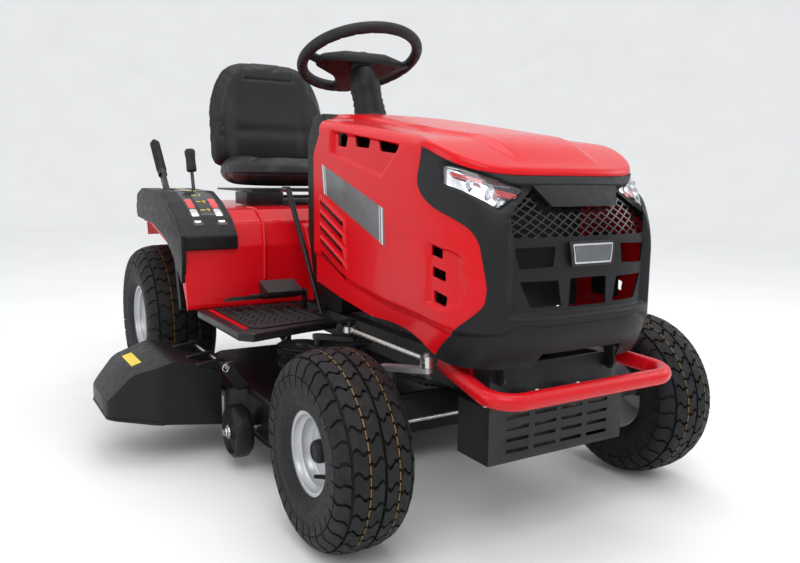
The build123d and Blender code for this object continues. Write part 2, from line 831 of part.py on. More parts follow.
def make_bezel(shell):
    """Front moulding with two lamp pockets, an upper grille window and five lower windows."""
    wide = hood_half_width + 60
    with BuildPart() as bezel:
        add(shell.part)
        block((-wide, hood_nose_y - 60, 300), (wide, bezel_back_y, 1100), mode=Mode.INTERSECT)
        for side in (-1, 1):
            front_outline(lamp_outline(side, 0.0), Mode.SUBTRACT)
        front_outline(
            [(-grille_half, grille_middle + 20), (grille_half, grille_middle + 20),
             (grille_half - 26, grille_top), (-grille_half + 26, grille_top)],
            Mode.SUBTRACT,
        )
        window = 2 * grille_half / 5
        for step in range(5):
            left = -grille_half + step * window + 5
            right = left + window - 10
            front_outline(
                [(left, grille_bottom), (right, grille_bottom), (right, grille_middle), (left, grille_middle)],
                Mode.SUBTRACT,
            )
        for side in (-1, 1):
            rod_x(side * hood_pin_end, side * (hood_ear_x - 8), hood_hinge[0], hood_hinge[1], hood_pin_radius)
    save(bezel, "grille_bezel")
    with BuildPart() as lamps:
        add(shell.part)
        block((-wide, hood_nose_y - 60, 300), (wide, bezel_back_y, 1100), mode=Mode.INTERSECT)
        with BuildPart(mode=Mode.PRIVATE) as pockets:
            for side in (-1, 1):
                front_outline(lamp_outline(side, 0.5), Mode.ADD)
        add(pockets.part, mode=Mode.INTERSECT)
    save(lamps, "headlights")
    mesh_back = hood_nose_y + 66
    with BuildPart() as mesh:
        with BuildSketch(Plane.XZ.offset(-mesh_back)):
            with BuildLine():
                Polyline(
                    (-grille_half, grille_middle + 10), (grille_half, grille_middle + 10),
                    (grille_half - 20, grille_top + 8), (-grille_half + 20, grille_top + 8), close=True,
                )
            make_face()
            with Locations((0, (grille_middle + grille_top) / 2 + 8)):
                with GridLocations(24, 20, 11, 4):
                    Rectangle(12, 12, rotation=45, mode=Mode.SUBTRACT)
        extrude(amount=3)
    save(mesh, "grille_mesh")


# --------------------------------------------------------------- console, column
wheel_plane = Plane(
    origin=(0, steering_wheel_y, steering_wheel_z),
    x_dir=(1, 0, 0),
    z_dir=(0, math.sin(math.radians(column_tilt)), math.cos(math.radians(column_tilt))),
)


def column_bar(low, high, radius, mode=Mode.ADD):
    """A round bar on the tilted column axis, between two heights measured from the wheel's centre."""
    with BuildSketch(wheel_plane.offset(low)) as disc:
        Circle(radius)
    extrude(disc.sketch, amount=high - low, mode=mode)


def make_console():
    """Steering console shell, its column cover and the panel's bearings for the key and throttle."""
    profile = [
        (hood_rear_y - 84, rail_top + 2),
        (console_rear_y - 50, rail_top + 2),
        (console_rear_y, 560.0),
        (console_rear_y, 790.0),
        (console_rear_y - 34, 852.0),
        (hood_rear_y + 20, 858.0),
        (hood_rear_y - 6, 828.0),
        (hood_rear_y - 84, 800.0),
    ]
    with BuildPart() as console:
        side_plate(-console_half_width, console_half_width, profile)
        bottom = console.faces().sort_by(Axis.Z)[0]
        front = console.faces().sort_by(Axis.Y)[0]
        offset(amount=-console_wall, openings=[bottom, front])
        column_bar(-240, -40, column_radius + 0.5, mode=Mode.SUBTRACT)
        block(
            (throttle_x - 4, console_rear_y - 10, throttle_z - 34),
            (throttle_x + 4, console_rear_y + 10, throttle_z + 34), mode=Mode.SUBTRACT,
        )
        rod_y(console_rear_y + 10, console_rear_y - 10, key_x, key_z, key_radius + running_clearance,
              mode=Mode.SUBTRACT)
        side_plate(
            throttle_x - 12, throttle_x - 8,
            [(console_rear_y - console_wall, throttle_z - 10), (console_rear_y - 30, throttle_z - 10),
             (console_rear_y - 30, throttle_z + 10), (console_rear_y - console_wall, throttle_z + 10)],
        )
        rod_x(throttle_x - 8, throttle_x + 6, console_rear_y - 20, throttle_z, 3.0)
    with BuildPart() as column:
        column_bar(-205, -100, column_radius)
        column_bar(-100, -38, column_radius - 4)
        column_bar(-206, -37, column_shaft_radius + running_clearance, mode=Mode.SUBTRACT)
    with BuildPart() as both:
        add(console.part)
        add(column.part)
    save(both, "steering_console")


def make_steering_wheel():
    """Steering wheel with a wide hub, three spokes and its shaft."""
    with BuildPart() as wheel:
        with Locations(wheel_plane.location):
            Torus(steering_wheel_radius, steering_rim_radius)
        column_bar(-30, 6, 48.0)
        for angle in (0, 180, 270):
            with BuildSketch(wheel_plane.offset(-16)):
                with PolarLocations(0, 1, start_angle=angle):
                    with Locations((steering_wheel_radius / 2 + 12, 0)):
                        Rectangle(steering_wheel_radius - 30, 44)
            extrude(amount=14)
        column_bar(-250, -30, column_shaft_radius)
    save(wheel, "steering_wheel")


throttle_x = -95.0
throttle_z = 700.0
key_x = 105.0
key_z = 700.0
key_radius = 4.0


def make_throttle():
    """Throttle lever that sticks out of a slot in the panel."""
    with BuildPart() as lever:
        side_plate(
            throttle_x - 2, throttle_x + 2,
            [(console_rear_y - 28, throttle_z - 7), (console_rear_y + 30, throttle_z - 5),
             (console_rear_y + 30, throttle_z + 5), (console_rear_y - 28, throttle_z + 7)],
        )
        rod_x(throttle_x - 3, throttle_x + 3, console_rear_y - 20, throttle_z, 3.0 + running_clearance,
              mode=Mode.SUBTRACT)
        rod_x(throttle_x - 9, throttle_x + 9, console_rear_y + 34, throttle_z, 9.0)
    save(lever, "throttle_lever")


def make_key():
    """Ignition key and its lock barrel."""
    with BuildPart() as key:
        rod_y(console_rear_y + 14, console_rear_y - 30, key_x, key_z, key_radius)
        block((key_x - 2, console_rear_y + 14, key_z - 12), (key_x + 2, console_rear_y + 36, key_z + 12))
    save(key, "ignition_key")


# ------------------------------------------------------------------ fender body
fender_outline = [
    (-573.0, 365.0), (-545.0, 517.0), (-512.0, 590.0), (-470.0, fender_top),
    (262.0, fender_top), (318.0, 560.0), (330.0, 470.0),
]
arch_line = [
    (-566.0, 340.0), (-553.0, 368.0), (-521.0, 430.0), (-396.0, 505.0), (-191.0, 556.0),
    (60.0, 560.0), (240.0, 540.0), (340.0, 468.0),
]
lever_slot = (-318.0, -96.0)
lift_lever_x = -440.0
pto_lever_x = -380.0


def make_fender():
    """Rear body shell: a level seat deck, two wheel arches and a central tunnel."""
    low = rail_top + 2.0
    profile = fender_outline + [(330.0, low), (-573.0, low)]
    with BuildPart() as fender:
        with BuildSketch(Plane.YZ) as outer:
            with BuildLine():
                Polyline(*profile, close=True)
            make_face()
        extrude(amount=fender_half_width, both=True)
        with BuildSketch(Plane.YZ):
            add(outer.sketch_local)
            offset(amount=-fender_wall, kind=Kind.INTERSECTION)
        extrude(amount=fender_half_width - fender_wall, both=True, mode=Mode.SUBTRACT)
        block((-tunnel_half_width, -560, low - 1), (tunnel_half_width, 320, low + 6), mode=Mode.SUBTRACT)
        for side in (-1, 1):
            side_plate(
                side * tunnel_half_width, side * (fender_half_width + 10),
                arch_line + [(400.0, 300.0), (-600.0, 300.0), (-600.0, 340.0)], mode=Mode.SUBTRACT,
            )
            wall = [(-566.0, low), (-541.0, 512.0), (-506.0, 588.0), (-468.0, fender_top - 2), (260.0, fender_top - 2),
                    (314.0, 558.0), (326.0, low)]
            side_plate(side * (tunnel_half_width - fender_wall), side * tunnel_half_width, wall)
        block(
            (lift_lever_x - 10, lever_slot[0], fender_top - 20),
            (pto_lever_x + 14, lever_slot[1], fender_top + 5), mode=Mode.SUBTRACT,
        )
    save(fender, "fender_body")
    return outer


def make_lever_console(outer):
    """Moulded cover on the right fender with a slot for each lever."""
    inner_x = -346.0
    outer_x = -fender_half_width - 8
    profile = [(-556.0, 500.0), (-556.0, 545.0), (-360.0, 652.0), (-70.0, 656.0), (-22.0, 628.0), (-22.0, 560.0),
               (-430.0, 545.0), (-520.0, 500.0)]
    with BuildPart() as cover:
        side_plate(outer_x, inner_x, profile)
        fillet(cover.edges().filter_by(Axis.X).group_by(Axis.Z)[-1], radius=10)
        with BuildPart(mode=Mode.PRIVATE) as body:
            extrude(outer.sketch, amount=fender_half_width, both=True)
        add(body.part, mode=Mode.SUBTRACT)
        for x, half, low_y, high_y in ((lift_lever_x, 9, lever_slot[0], lever_slot[1]), (pto_lever_x, 8, -322, -212)):
            block((x - half, low_y, fender_top - 20), (x + half, high_y, 700), mode=Mode.SUBTRACT)
        block((pto_lever_x + 14, -306, 566), (pto_lever_x + 18, -274, fender_top - fender_wall))
        rod_x(pto_lever_x - 7, pto_lever_x + 14, pto_pivot[0], pto_pivot[1], 4.0)
    save(cover, "lever_console")


def make_footrests():
    """Two foot platforms with turned-down edges, each on two brackets from the rail."""
    top = footrest_bottom + footrest_height
    with BuildPart() as rests:
        for side in (-1, 1):
            with BuildSketch(Plane.XY.offset(footrest_bottom)):
                with BuildLine():
                    Polyline(
                        (side * footrest_inner, footrest_front + 54),
                        (side * (footrest_inner + 90), footrest_front + 40),
                        (side * (footrest_outer - 26), footrest_front),
                        (side * footrest_outer, footrest_front + 30),
                        (side * footrest_outer, footrest_rear),
                        (side * footrest_inner, footrest_rear),
                        close=True,
                    )
                make_face()
            extrude(amount=footrest_height)
        offset(
            amount=-footrest_sheet,
            openings=rests.faces().filter_by(Axis.Z).group_by(Axis.Z)[0],
        )
        for side in (-1, 1):
            for y in (footrest_front + 60, footrest_rear - 125):
                block(
                    (min(side * rail_outer, side * (footrest_inner + 40)), y, top - footrest_sheet - 6),
                    (max(side * rail_outer, side * (footrest_inner + 40)), y + 22, top - footrest_sheet),
                )
    save(rests, "footrests")


def make_mats():
    """Rubber mats on the foot platforms."""
    top = footrest_bottom + footrest_height
    margin = 22.0
    with BuildPart() as mats:
        for side in (-1, 1):
            with BuildSketch(Plane.XY.offset(top)):
                with BuildLine():
                    Polyline(
                        (side * (footrest_inner + margin), footrest_front + 74),
                        (side * (footrest_outer - 60), footrest_front + 40),
                        (side * (footrest_outer - margin - 14), footrest_front + 60),
                        (side * (footrest_outer - margin - 14), footrest_rear - margin),
                        (side * (footrest_inner + margin), footrest_rear - margin),
                        close=True,
                    )
                make_face()
            extrude(amount=mat_sheet)
    save(mats, "footrest_mats")


# ------------------------------------------------------------- levers and pedals
pedal_shaft_z = 316.0
pedal_shaft_radius = 8.0
drive_pedal_pivot = (-655.0, pedal_shaft_z)
brake_pedal_pivot = (-610.0, pedal_shaft_z)
parking_pivot = (-748.0, pedal_shaft_z)
pto_pivot = (-290.0, 580.0)
pedal_arm_x = 201.0
parking_x = 186.0
grip_radius = 13.0
button_radius = 8.0
lever_knee = (-257.0, 587.0)
lever_tip = (-70.0, 790.0)
grip_length = 130.0


def lift_arms(y):
    """Two arms on one cross shaft. Each ends above the deck, in front of the shaft."""
    end = (y - lift_arm_run, lift_shaft_z - lift_arm_drop)
    for side in (-1, 1):
        inner = side * lift_arm_inner
        link_plate(inner, inner + side * lift_arm_sheet, [(y, lift_shaft_z), end], 30.0)
    return end


def make_front_lift():
    with BuildPart() as arms:
        reach = lift_arm_inner + lift_arm_sheet
        rod_x(-reach, reach, front_lift_y, lift_shaft_z, lift_shaft_radius)
        end = lift_arms(front_lift_y)
        for side in (-1, 1):
            rod_x(side * reach, side * (reach + 16), end[0], end[1], deck_pin_radius)
    save(arms, "front_lift_arms")


def lever_axis_plane():
    """Plane at the lift lever's tip whose normal runs along the grip."""
    rise = (lever_tip[0] - lever_knee[0], lever_tip[1] - lever_knee[1])
    length = math.hypot(*rise)
    return Plane(
        origin=(lift_lever_x, lever_tip[0], lever_tip[1]),
        x_dir=(1, 0, 0),
        z_dir=(0, rise[0] / length, rise[1] / length),
    )


def make_lift_lever():
    """Hand lever on the rear lift shaft, with the rear lift arms and a hollow grip."""
    tip = lever_axis_plane()
    reach = lift_arm_inner + lift_arm_sheet
    with BuildPart() as lever:
        rod_x(lift_lever_x - 6, reach, rear_lift_y, lift_shaft_z, lift_shaft_radius)
        end = lift_arms(rear_lift_y)
        for side in (-1, 1):
            rod_x(side * reach, side * (reach + 16), end[0], end[1], deck_pin_radius - 3 * joint_gap)
        link_plate(
            lift_lever_x - 6, lift_lever_x + 6,
            [(rear_lift_y, lift_shaft_z), lever_knee, (lever_tip[0] - 60, lever_tip[1] - 65.1)], 24.0,
        )
        with BuildSketch(tip.offset(-grip_length)):
            Circle(grip_radius)
        extrude(amount=grip_length)
        with BuildSketch(tip.offset(-26)):
            Circle(button_radius + 0.4)
        extrude(amount=27, mode=Mode.SUBTRACT)
    save(lever, "lift_lever")
    with BuildPart() as button:
        with BuildSketch(tip.offset(-14)):
            Circle(button_radius)
        extrude(amount=26)
        fillet(button.edges().group_by(Axis.Z)[-1], radius=2)
    save(button, "lift_lever_button")


def make_pto_lever():
    """Blade-engagement lever with a round knob."""
    top = (pto_pivot[0] + 52, pto_pivot[1] + 186)
    length = math.hypot(52, 186)
    plane = Plane(
        origin=(pto_lever_x, pto_pivot[0], pto_pivot[1]), x_dir=(1, 0, 0), z_dir=(0, 52 / length, 186 / length),
    )
    with BuildPart() as lever:
        rod_x(pto_lever_x - 6, pto_lever_x + 6, pto_pivot[0], pto_pivot[1], 11.0)
        with BuildSketch(plane):
            Circle(5.0)
        extrude(amount=length - 40)
        with BuildSketch(plane.offset(length - 58)):
            Circle(13.0)
        extrude(amount=60)
        fillet(lever.edges().group_by(Axis.Z)[-1], radius=6)
        rod_x(
            pto_lever_x - 8, pto_lever_x + 8, pto_pivot[0], pto_pivot[1], 4.0 + running_clearance,
            mode=Mode.SUBTRACT,
        )
    save(lever, "pto_lever")


def make_parking_lever():
    """Long tapered rod with a bent grip beside the right rail."""
    y, z = parking_pivot
    top = (y + 232, z + 344)
    length = math.hypot(232, 344)
    plane = Plane(origin=(-parking_x, y, z), x_dir=(1, 0, 0), z_dir=(0, 232 / length, 344 / length))
    with BuildPart() as lever:
        with Locations(plane.location):
            Cone(5.0, 8.0, length, align=(Align.CENTER, Align.CENTER, Align.MIN))
        rod_x(-parking_x - 8, -rail_outer + rail_sheet + 8, y, z, pedal_shaft_radius)
        rod_y(top[0] + 34, top[0] - 4, -parking_x, top[1], 8.0)
    save(lever, "parking_lever")


def make_drive_pedals():
    """Forward and reverse pedals on one rocking shaft through the right rail."""
    y, z = drive_pedal_pivot
    arm = -pedal_arm_x
    with BuildPart() as pedal:
        rod_x(arm - 3, -rail_outer + rail_sheet + 10, y, z, pedal_shaft_radius)
        link_plate(arm - 3, arm + 3, [(y, z), (y, z + 76)], 22.0)
        rod_x(-350, arm, y, z + 74, 6.0)
        side_plate(
            -322, -226,
            [(y - 50, z + 82), (y - 50, z + 90), (y + 16, z + 112), (y + 16, z + 104), (y + 4, z + 66), (y - 6, z + 66)],
        )
        side_plate(
            -412, -336,
            [(y - 20, z + 70), (y + 22, z + 62), (y + 26, z + 70), (y - 18, z + 80)],
        )
    save(pedal, "drive_pedals")


def make_brake_pedal():
    """Brake pedal on the left, on its own shaft through the left rail."""
    y, z = brake_pedal_pivot
    with BuildPart() as pedal:
        rod_x(rail_outer - rail_sheet - 10, pedal_arm_x + 3, y, z, pedal_shaft_radius)
        link_plate(pedal_arm_x - 3, pedal_arm_x + 3, [(y, z), (y - 24, z + 150)], 22.0)
        side_plate(
            pedal_arm_x - 3, pedal_arm_x + 104,
            [(y - 44, z + 130), (y - 34, z + 126), (y - 6, z + 186), (y - 16, z + 190)],
        )
    save(pedal, "brake_pedal")


# ------------------------------------------------------------------------- deck
deck_outline = [
    (-440.0, -430.0), (-440.0, -700.0), (-395.0, -742.0), (-395.0, -915.0), (-330.0, -975.0),
    (430.0, -985.0), (530.0, -915.0), (530.0, -560.0), (380.0, -430.0), (150.0, -320.0), (-330.0, -310.0),
]
discharge = ((-460.0, -695.0, 60.0), (-420.0, -470.0, 150.0))


def make_deck():
    """Stamped deck with a rolled lip, hanging brackets, gauge-wheel bolts and the deflector's rod."""
    with BuildPart() as deck:
        with BuildSketch(Plane.XY.offset(deck_bottom)) as outline:
            with BuildLine():
                Polyline(*deck_outline, close=True)
            make_face()
            fillet(outline.vertices(), radius=24)
        extrude(amount=deck_top - deck_bottom)
        fillet(deck.faces().sort_by(Axis.Z)[-1].edges(), radius=16)
        offset(amount=-deck_wall, openings=deck.faces().sort_by(Axis.Z)[0])
        block(discharge[0], discharge[1], mode=Mode.SUBTRACT)
        for x, y in (right_spindle, left_spindle):
            rod_z(deck_top - deck_wall - 2, deck_top + 2, x, y, 30.0, mode=Mode.SUBTRACT)
        reach = lift_arm_inner + lift_arm_sheet
        for y, hole in (
            (front_lift_y - lift_arm_run, deck_pin_radius + running_clearance),
            (rear_lift_y - lift_arm_run, deck_pin_radius + 2 * joint_gap),
        ):
            for side in (-1, 1):
                face = side * (reach + joint_gap)
                z = lift_shaft_z - lift_arm_drop
                side_plate(
                    face, face + side * 6,
                    [(y - 22, deck_top - 3), (y + 22, deck_top - 3), (y + 14, z + 16), (y - 14, z + 16)],
                )
                rod_x(face - side, face + side * 8, y, z, hole, mode=Mode.SUBTRACT)
        rod_x(gauge_right[0] - 30, -395 + deck_wall, gauge_right[1], gauge_wheel_z, gauge_axle_radius)
        rod_x(530 - deck_wall, gauge_left[0] + 30, gauge_left[1], gauge_wheel_z, gauge_axle_radius)
        hinge_x, hinge_z = deflector_hinge
        for y in (-452, -722):
            with BuildSketch(Plane.XZ.offset(-y)) as lug:
                with BuildLine():
                    Polyline(
                        (-418, deck_top - 3), (-380, deck_top - 3), (hinge_x + 12, hinge_z + 8),
                        (hinge_x - 8, hinge_z + 8), (hinge_x - 8, hinge_z - 10), close=True,
                    )
                make_face()
            extrude(lug.sketch, amount=6)
        rod_y(-440, -740, hinge_x, hinge_z, hinge_rod_radius)
    save(deck, "deck_shell")


def make_spindles():
    """Two bearing housings on the deck's top."""
    with BuildPart() as housings:
        for x, y in (right_spindle, left_spindle):
            rod_z(deck_top, deck_top + 8, x, y, 62.0)
            rod_z(deck_top - 40, deck_top + 28, x, y, 29.0)
            rod_z(deck_top - 41, deck_top + 29, x, y, spindle_radius + running_clearance, mode=Mode.SUBTRACT)
    save(housings, "spindle_housings")


def make_blade(name, centre, turn):
    """A mower blade with turned-up wings, its spindle shaft and its pulley."""
    x, y = centre
    with BuildPart() as blade:
        with BuildSketch(Plane.XY.offset(blade_z)) as bar:
            with Locations((x, y)):
                Rectangle(2 * blade_half_length - 4, blade_width, rotation=turn)
        extrude(amount=blade_sheet)
        for way in (0, 180):
            with BuildSketch(Plane.XY.offset(blade_z)):
                with Locations(Location((x, y, 0), (0, 0, turn + way))):
                    with Locations((blade_half_length - 46, blade_width / 2 - 3)):
                        Rectangle(80, 6)
            extrude(amount=24)
        rod_z(blade_z - 12, pulley_z + 14, x, y, spindle_radius)
        rod_z(blade_z - 12, blade_z, x, y, 22.0)
        v_pulley(x, y, pulley_z)
    save(blade, f"blade_{name}")


def make_belt():
    """Deck drive belt around the engine pulley and the two spindle pulleys."""
    places = (right_spindle, left_spindle, (0.0, engine_pulley_y))
    with BuildPart() as belt:
        with BuildSketch(Plane.XY.offset(pulley_z - belt_height / 2)):
            with Locations(*places):
                Circle(pulley_radius)
            make_hull()
        extrude(amount=belt_height)
        with BuildSketch(Plane.XY.offset(pulley_z - belt_height / 2 - 1)):
            with Locations(*places):
                Circle(groove_radius + belt_gap)
            make_hull()
        extrude(amount=belt_height + 2, mode=Mode.SUBTRACT)
    save(belt, "deck_belt")


def make_gauge_wheel(name, centre):
    """A solid anti-scalp wheel."""
    x, y = centre
    with BuildPart() as wheel:
        rod_x(x - gauge_wheel_width / 2, x + gauge_wheel_width / 2, y, gauge_wheel_z, gauge_wheel_radius)
        fillet(wheel.edges(), radius=12)
        rod_x(
            x - gauge_wheel_width, x + gauge_wheel_width, y, gauge_wheel_z,
            gauge_axle_radius + running_clearance, mode=Mode.SUBTRACT,
        )
    save(wheel, f"gauge_wheel_{name}")


deflector_inner_x = -448.0
deflector_outer_x = -708.0


def deflector_form(inset):
    """The deflector's outer form, or its inside when it is inset by the wall."""
    down = 30.0 if inset else 0.0
    with BuildPart() as form:
        with BuildSketch(Plane.XZ.offset(360)):
            with BuildLine():
                Polyline(
                    (deflector_inner_x + down, 222.0 - inset),
                    (-560, 256 - inset),
                    (-650, 226 - inset),
                    (deflector_outer_x + inset, 158.0),
                    (deflector_outer_x + inset, 116.0 - down),
                    (deflector_inner_x - 10, 84.0 - down),
                    (deflector_inner_x + down, 84.0 - down),
                    close=True,
                )
            make_face()
        extrude(amount=460)
        with BuildSketch(Plane.XY.offset(40)):
            with BuildLine():
                Polyline(
                    (deflector_inner_x + down, -404 - inset),
                    (deflector_outer_x, -440 - inset),
                    (deflector_outer_x, -640 + inset),
                    (-600, -700 + inset),
                    (deflector_inner_x + down, -716 + inset),
                    close=True,
                )
            make_face()
        extrude(amount=300, mode=Mode.INTERSECT)
    return form


def make_deflector():
    """Side-discharge deflector that hangs on the rod over the outlet."""
    hinge_x, hinge_z = deflector_hinge
    with BuildPart() as deflector:
        add(deflector_form(0.0).part)
        add(deflector_form(deflector_wall).part, mode=Mode.SUBTRACT)
        for y in (-470, -600, -690):
            with BuildSketch(Plane.XZ.offset(-y)) as knuckle:
                with Locations((hinge_x, hinge_z)):
                    Circle(11.0)
                with BuildLine():
                    Polyline(
                        (hinge_x, hinge_z + 10), (hinge_x - 60, hinge_z + 3), (hinge_x - 60, hinge_z - 6),
                        (hinge_x - 4, hinge_z - 16), close=True,
                    )
                make_face()
            extrude(knuckle.sketch, amount=16)
        rod_y(-400, -760, hinge_x, hinge_z, hinge_rod_radius + running_clearance, mode=Mode.SUBTRACT)
    save(deflector, "deflector")


# ------------------------------------------------------------------------- seat
seat_rail_x = 90.0
seat_rail_top = fender_top + 10.0


def make_seat_rails():
    """Two slide rails on the seat deck."""
    with BuildPart() as rails:
        for side in (-1, 1):
            block((side * seat_rail_x - 16, -300, fender_top), (side * seat_rail_x + 16, 100, seat_rail_top))
    save(rails, "seat_rails")


def make_seat_slider():
    """Sliding bracket with the seat's hinge pin."""
    y, z = seat_pivot
    with BuildPart() as slider:
        block((-125, y - 20, seat_rail_top + 0.3), (125, 60, seat_rail_top + 5))
        for side in (-1, 1):
            side_plate(
                side * 125, side * 119,
                [(y - 12, seat_rail_top + 1), (y + 12, seat_rail_top + 1), (y + 8, z + 8), (y - 8, z + 8)],
            )
        rod_x(-125, 125, y, z, seat_pin_radius)
    save(slider, "seat_slider")


def make_seat():
    """Seat pan with hinge lugs, and the cushion and backrest that it carries."""
    y, z = seat_pivot
    with BuildPart() as pan:
        block((-190, -236, seat_pan_z), (190, 110, seat_pan_z + seat_pan_sheet))
        for side in (-1, 1):
            side_plate(
                side * 117, side * 109,
                [(y - 8, z - 8), (y + 10, z - 8), (y + 40, seat_pan_z + 1), (y + 4, seat_pan_z + 1)],
            )
        rod_x(-118, 118, y, z, seat_pin_radius + running_clearance, mode=Mode.SUBTRACT)
    save(pan, "seat_pan")
    cushion_bottom = seat_pan_z + seat_pan_sheet
    with BuildPart() as cushion:
        block((-seat_half_width, -266, cushion_bottom), (seat_half_width, 118, cushion_bottom + cushion_height))
        fillet(cushion.edges().filter_by(Axis.Z), radius=50)
        fillet(cushion.faces().sort_by(Axis.Z)[-1].edges(), radius=24)
    save(cushion, "seat_cushion")
    lean = math.radians(seat_lean)
    base_z = cushion_bottom + cushion_height + 12
    back_plane = Plane(origin=(0, 82, base_z), x_dir=(1, 0, 0), z_dir=(0, math.sin(lean), math.cos(lean)))
    height = (seat_top - base_z) / math.cos(lean) - backrest_depth * math.sin(lean)
    with BuildPart() as back:
        with BuildSketch(back_plane):
            Rectangle(2 * seat_half_width - 16, backrest_depth)
        extrude(amount=height)
        fillet(back.edges().filter_by(lambda e: abs(e.tangent_at(0.5).Y) > 0.9), radius=56)
    save(back, "seat_backrest")


for wheel_name, wheel_side in (("right", -1), ("left", 1)):
    front_wheel(wheel_name, wheel_side)
    rear_wheel(wheel_name, wheel_side)
    make_spindle(wheel_name, wheel_side)
make_front_axle()
make_tie_rod()
make_drag_link()
make_pitman_arm()
make_front_frame()
make_rails()
make_hitch_plate()
make_bumper()
make_frame_bolts()
make_engine()
make_blower()
make_crank_pulley()
make_muffler()
make_muffler_guard()
make_transaxle()
make_fuel_tank()
make_battery()
make_hood()
make_console()
make_steering_wheel()
make_throttle()
make_key()
fender_profile = make_fender()
make_lever_console(fender_profile)
make_footrests()
make_mats()
make_front_lift()
make_lift_lever()
make_pto_lever()
make_parking_lever()
make_drive_pedals()
make_brake_pedal()
make_deck()
make_spindles()
make_blade("right", right_spindle, 20)
make_blade("left", left_spindle, 20)
make_belt()
make_gauge_wheel("right", gauge_right)
make_gauge_wheel("left", gauge_left)
make_deflector()
make_seat_rails()
make_seat_slider()
make_seat()
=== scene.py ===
import bpy
import bmesh
import math
from mathutils import Matrix, Vector


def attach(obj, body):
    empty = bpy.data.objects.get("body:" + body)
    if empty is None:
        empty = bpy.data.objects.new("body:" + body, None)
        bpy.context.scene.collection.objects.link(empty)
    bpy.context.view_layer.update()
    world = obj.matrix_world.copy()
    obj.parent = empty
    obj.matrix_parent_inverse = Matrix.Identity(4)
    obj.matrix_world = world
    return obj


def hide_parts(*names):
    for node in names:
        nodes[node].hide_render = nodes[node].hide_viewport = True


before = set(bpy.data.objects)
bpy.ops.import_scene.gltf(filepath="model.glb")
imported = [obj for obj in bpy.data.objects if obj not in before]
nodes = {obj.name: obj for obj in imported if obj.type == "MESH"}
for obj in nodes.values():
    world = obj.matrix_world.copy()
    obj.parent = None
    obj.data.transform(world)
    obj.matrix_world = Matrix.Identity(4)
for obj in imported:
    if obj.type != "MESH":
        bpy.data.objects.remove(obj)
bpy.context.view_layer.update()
MM = 0.001


# ------------------------------------------------------------------ materials
def finish(
    name, colour, rough=0.5, metal=0.0, vary=0.12, vary_scale=18.0, grain=0.05, grain_scale=900.0,
    coat=0.0, coat_rough=0.1, rough_vary=0.08, dust=0.0, wear=0.0, cells=0.0, cell_scale=500.0, specular=0.5,
):
    """A node material: mottled colour, uneven roughness, fine grain, and worn or dusty edges if asked for."""
    material = bpy.data.materials.new(name)
    material.use_nodes = True
    tree = material.node_tree
    make, link = tree.nodes.new, tree.links.new
    shader = tree.nodes["Principled BSDF"]
    shader.inputs["Metallic"].default_value = metal
    shader.inputs["Coat Weight"].default_value = coat
    shader.inputs["Coat Roughness"].default_value = coat_rough
    shader.inputs["Specular IOR Level"].default_value = specular
    place = make("ShaderNodeTexCoord").outputs["Object"]

    def noise(scale, detail=4.0):
        node = make("ShaderNodeTexNoise")
        node.inputs["Scale"].default_value = scale
        node.inputs["Detail"].default_value = detail
        link(place, node.inputs["Vector"])
        return node.outputs["Fac"]

    def remap(value, low, high, out_low, out_high):
        node = make("ShaderNodeMapRange")
        for slot, number in zip(("From Min", "From Max", "To Min", "To Max"), (low, high, out_low, out_high)):
            node.inputs[slot].default_value = number
        link(value, node.inputs["Value"])
        return node.outputs["Result"]

    def mix(amount, first, second):
        node = make("ShaderNodeMix")
        node.data_type = "RGBA"
        link(amount, node.inputs[0])
        for socket, value in ((node.inputs[6], first), (node.inputs[7], second)):
            if isinstance(value, tuple):
                socket.default_value = (*value, 1.0)
            else:
                link(value, socket)
        return node.outputs[2]

    darker = tuple(c * (1.0 - vary) for c in colour)
    lighter = tuple(min(1.0, c * (1.0 + vary)) for c in colour)
    tone = mix(remap(noise(vary_scale), 0.35, 0.65, 0.0, 1.0), darker, lighter)
    if wear:
        sharp = remap(make("ShaderNodeNewGeometry").outputs["Pointiness"], 0.53, 0.60, 0.0, wear)
        tone = mix(sharp, tone, tuple(min(1.0, c * 2.2 + 0.06) for c in colour))
    if dust:
        tone = mix(remap(noise(55.0, 6.0), 0.50, 0.75, 0.0, dust), tone, (0.16, 0.14, 0.12))
    link(tone, shader.inputs["Base Color"])
    link(remap(noise(vary_scale * 3.1), 0.3, 0.7, rough - rough_vary, rough + rough_vary),
         shader.inputs["Roughness"])
    bump = make("ShaderNodeBump")
    bump.inputs["Distance"].default_value = 0.0006
    bump.inputs["Strength"].default_value = grain
    link(noise(grain_scale, 2.0), bump.inputs["Height"])
    if cells:
        dimple = make("ShaderNodeTexVoronoi")
        dimple.inputs["Scale"].default_value = cell_scale
        link(place, dimple.inputs["Vector"])
        leather = make("ShaderNodeBump")
        leather.inputs["Distance"].default_value = 0.0008
        leather.inputs["Strength"].default_value = cells
        link(dimple.outputs["Distance"], leather.inputs["Height"])
        link(bump.outputs["Normal"], leather.inputs["Normal"])
        bump = leather
    link(bump.outputs["Normal"], shader.inputs["Normal"])
    return material


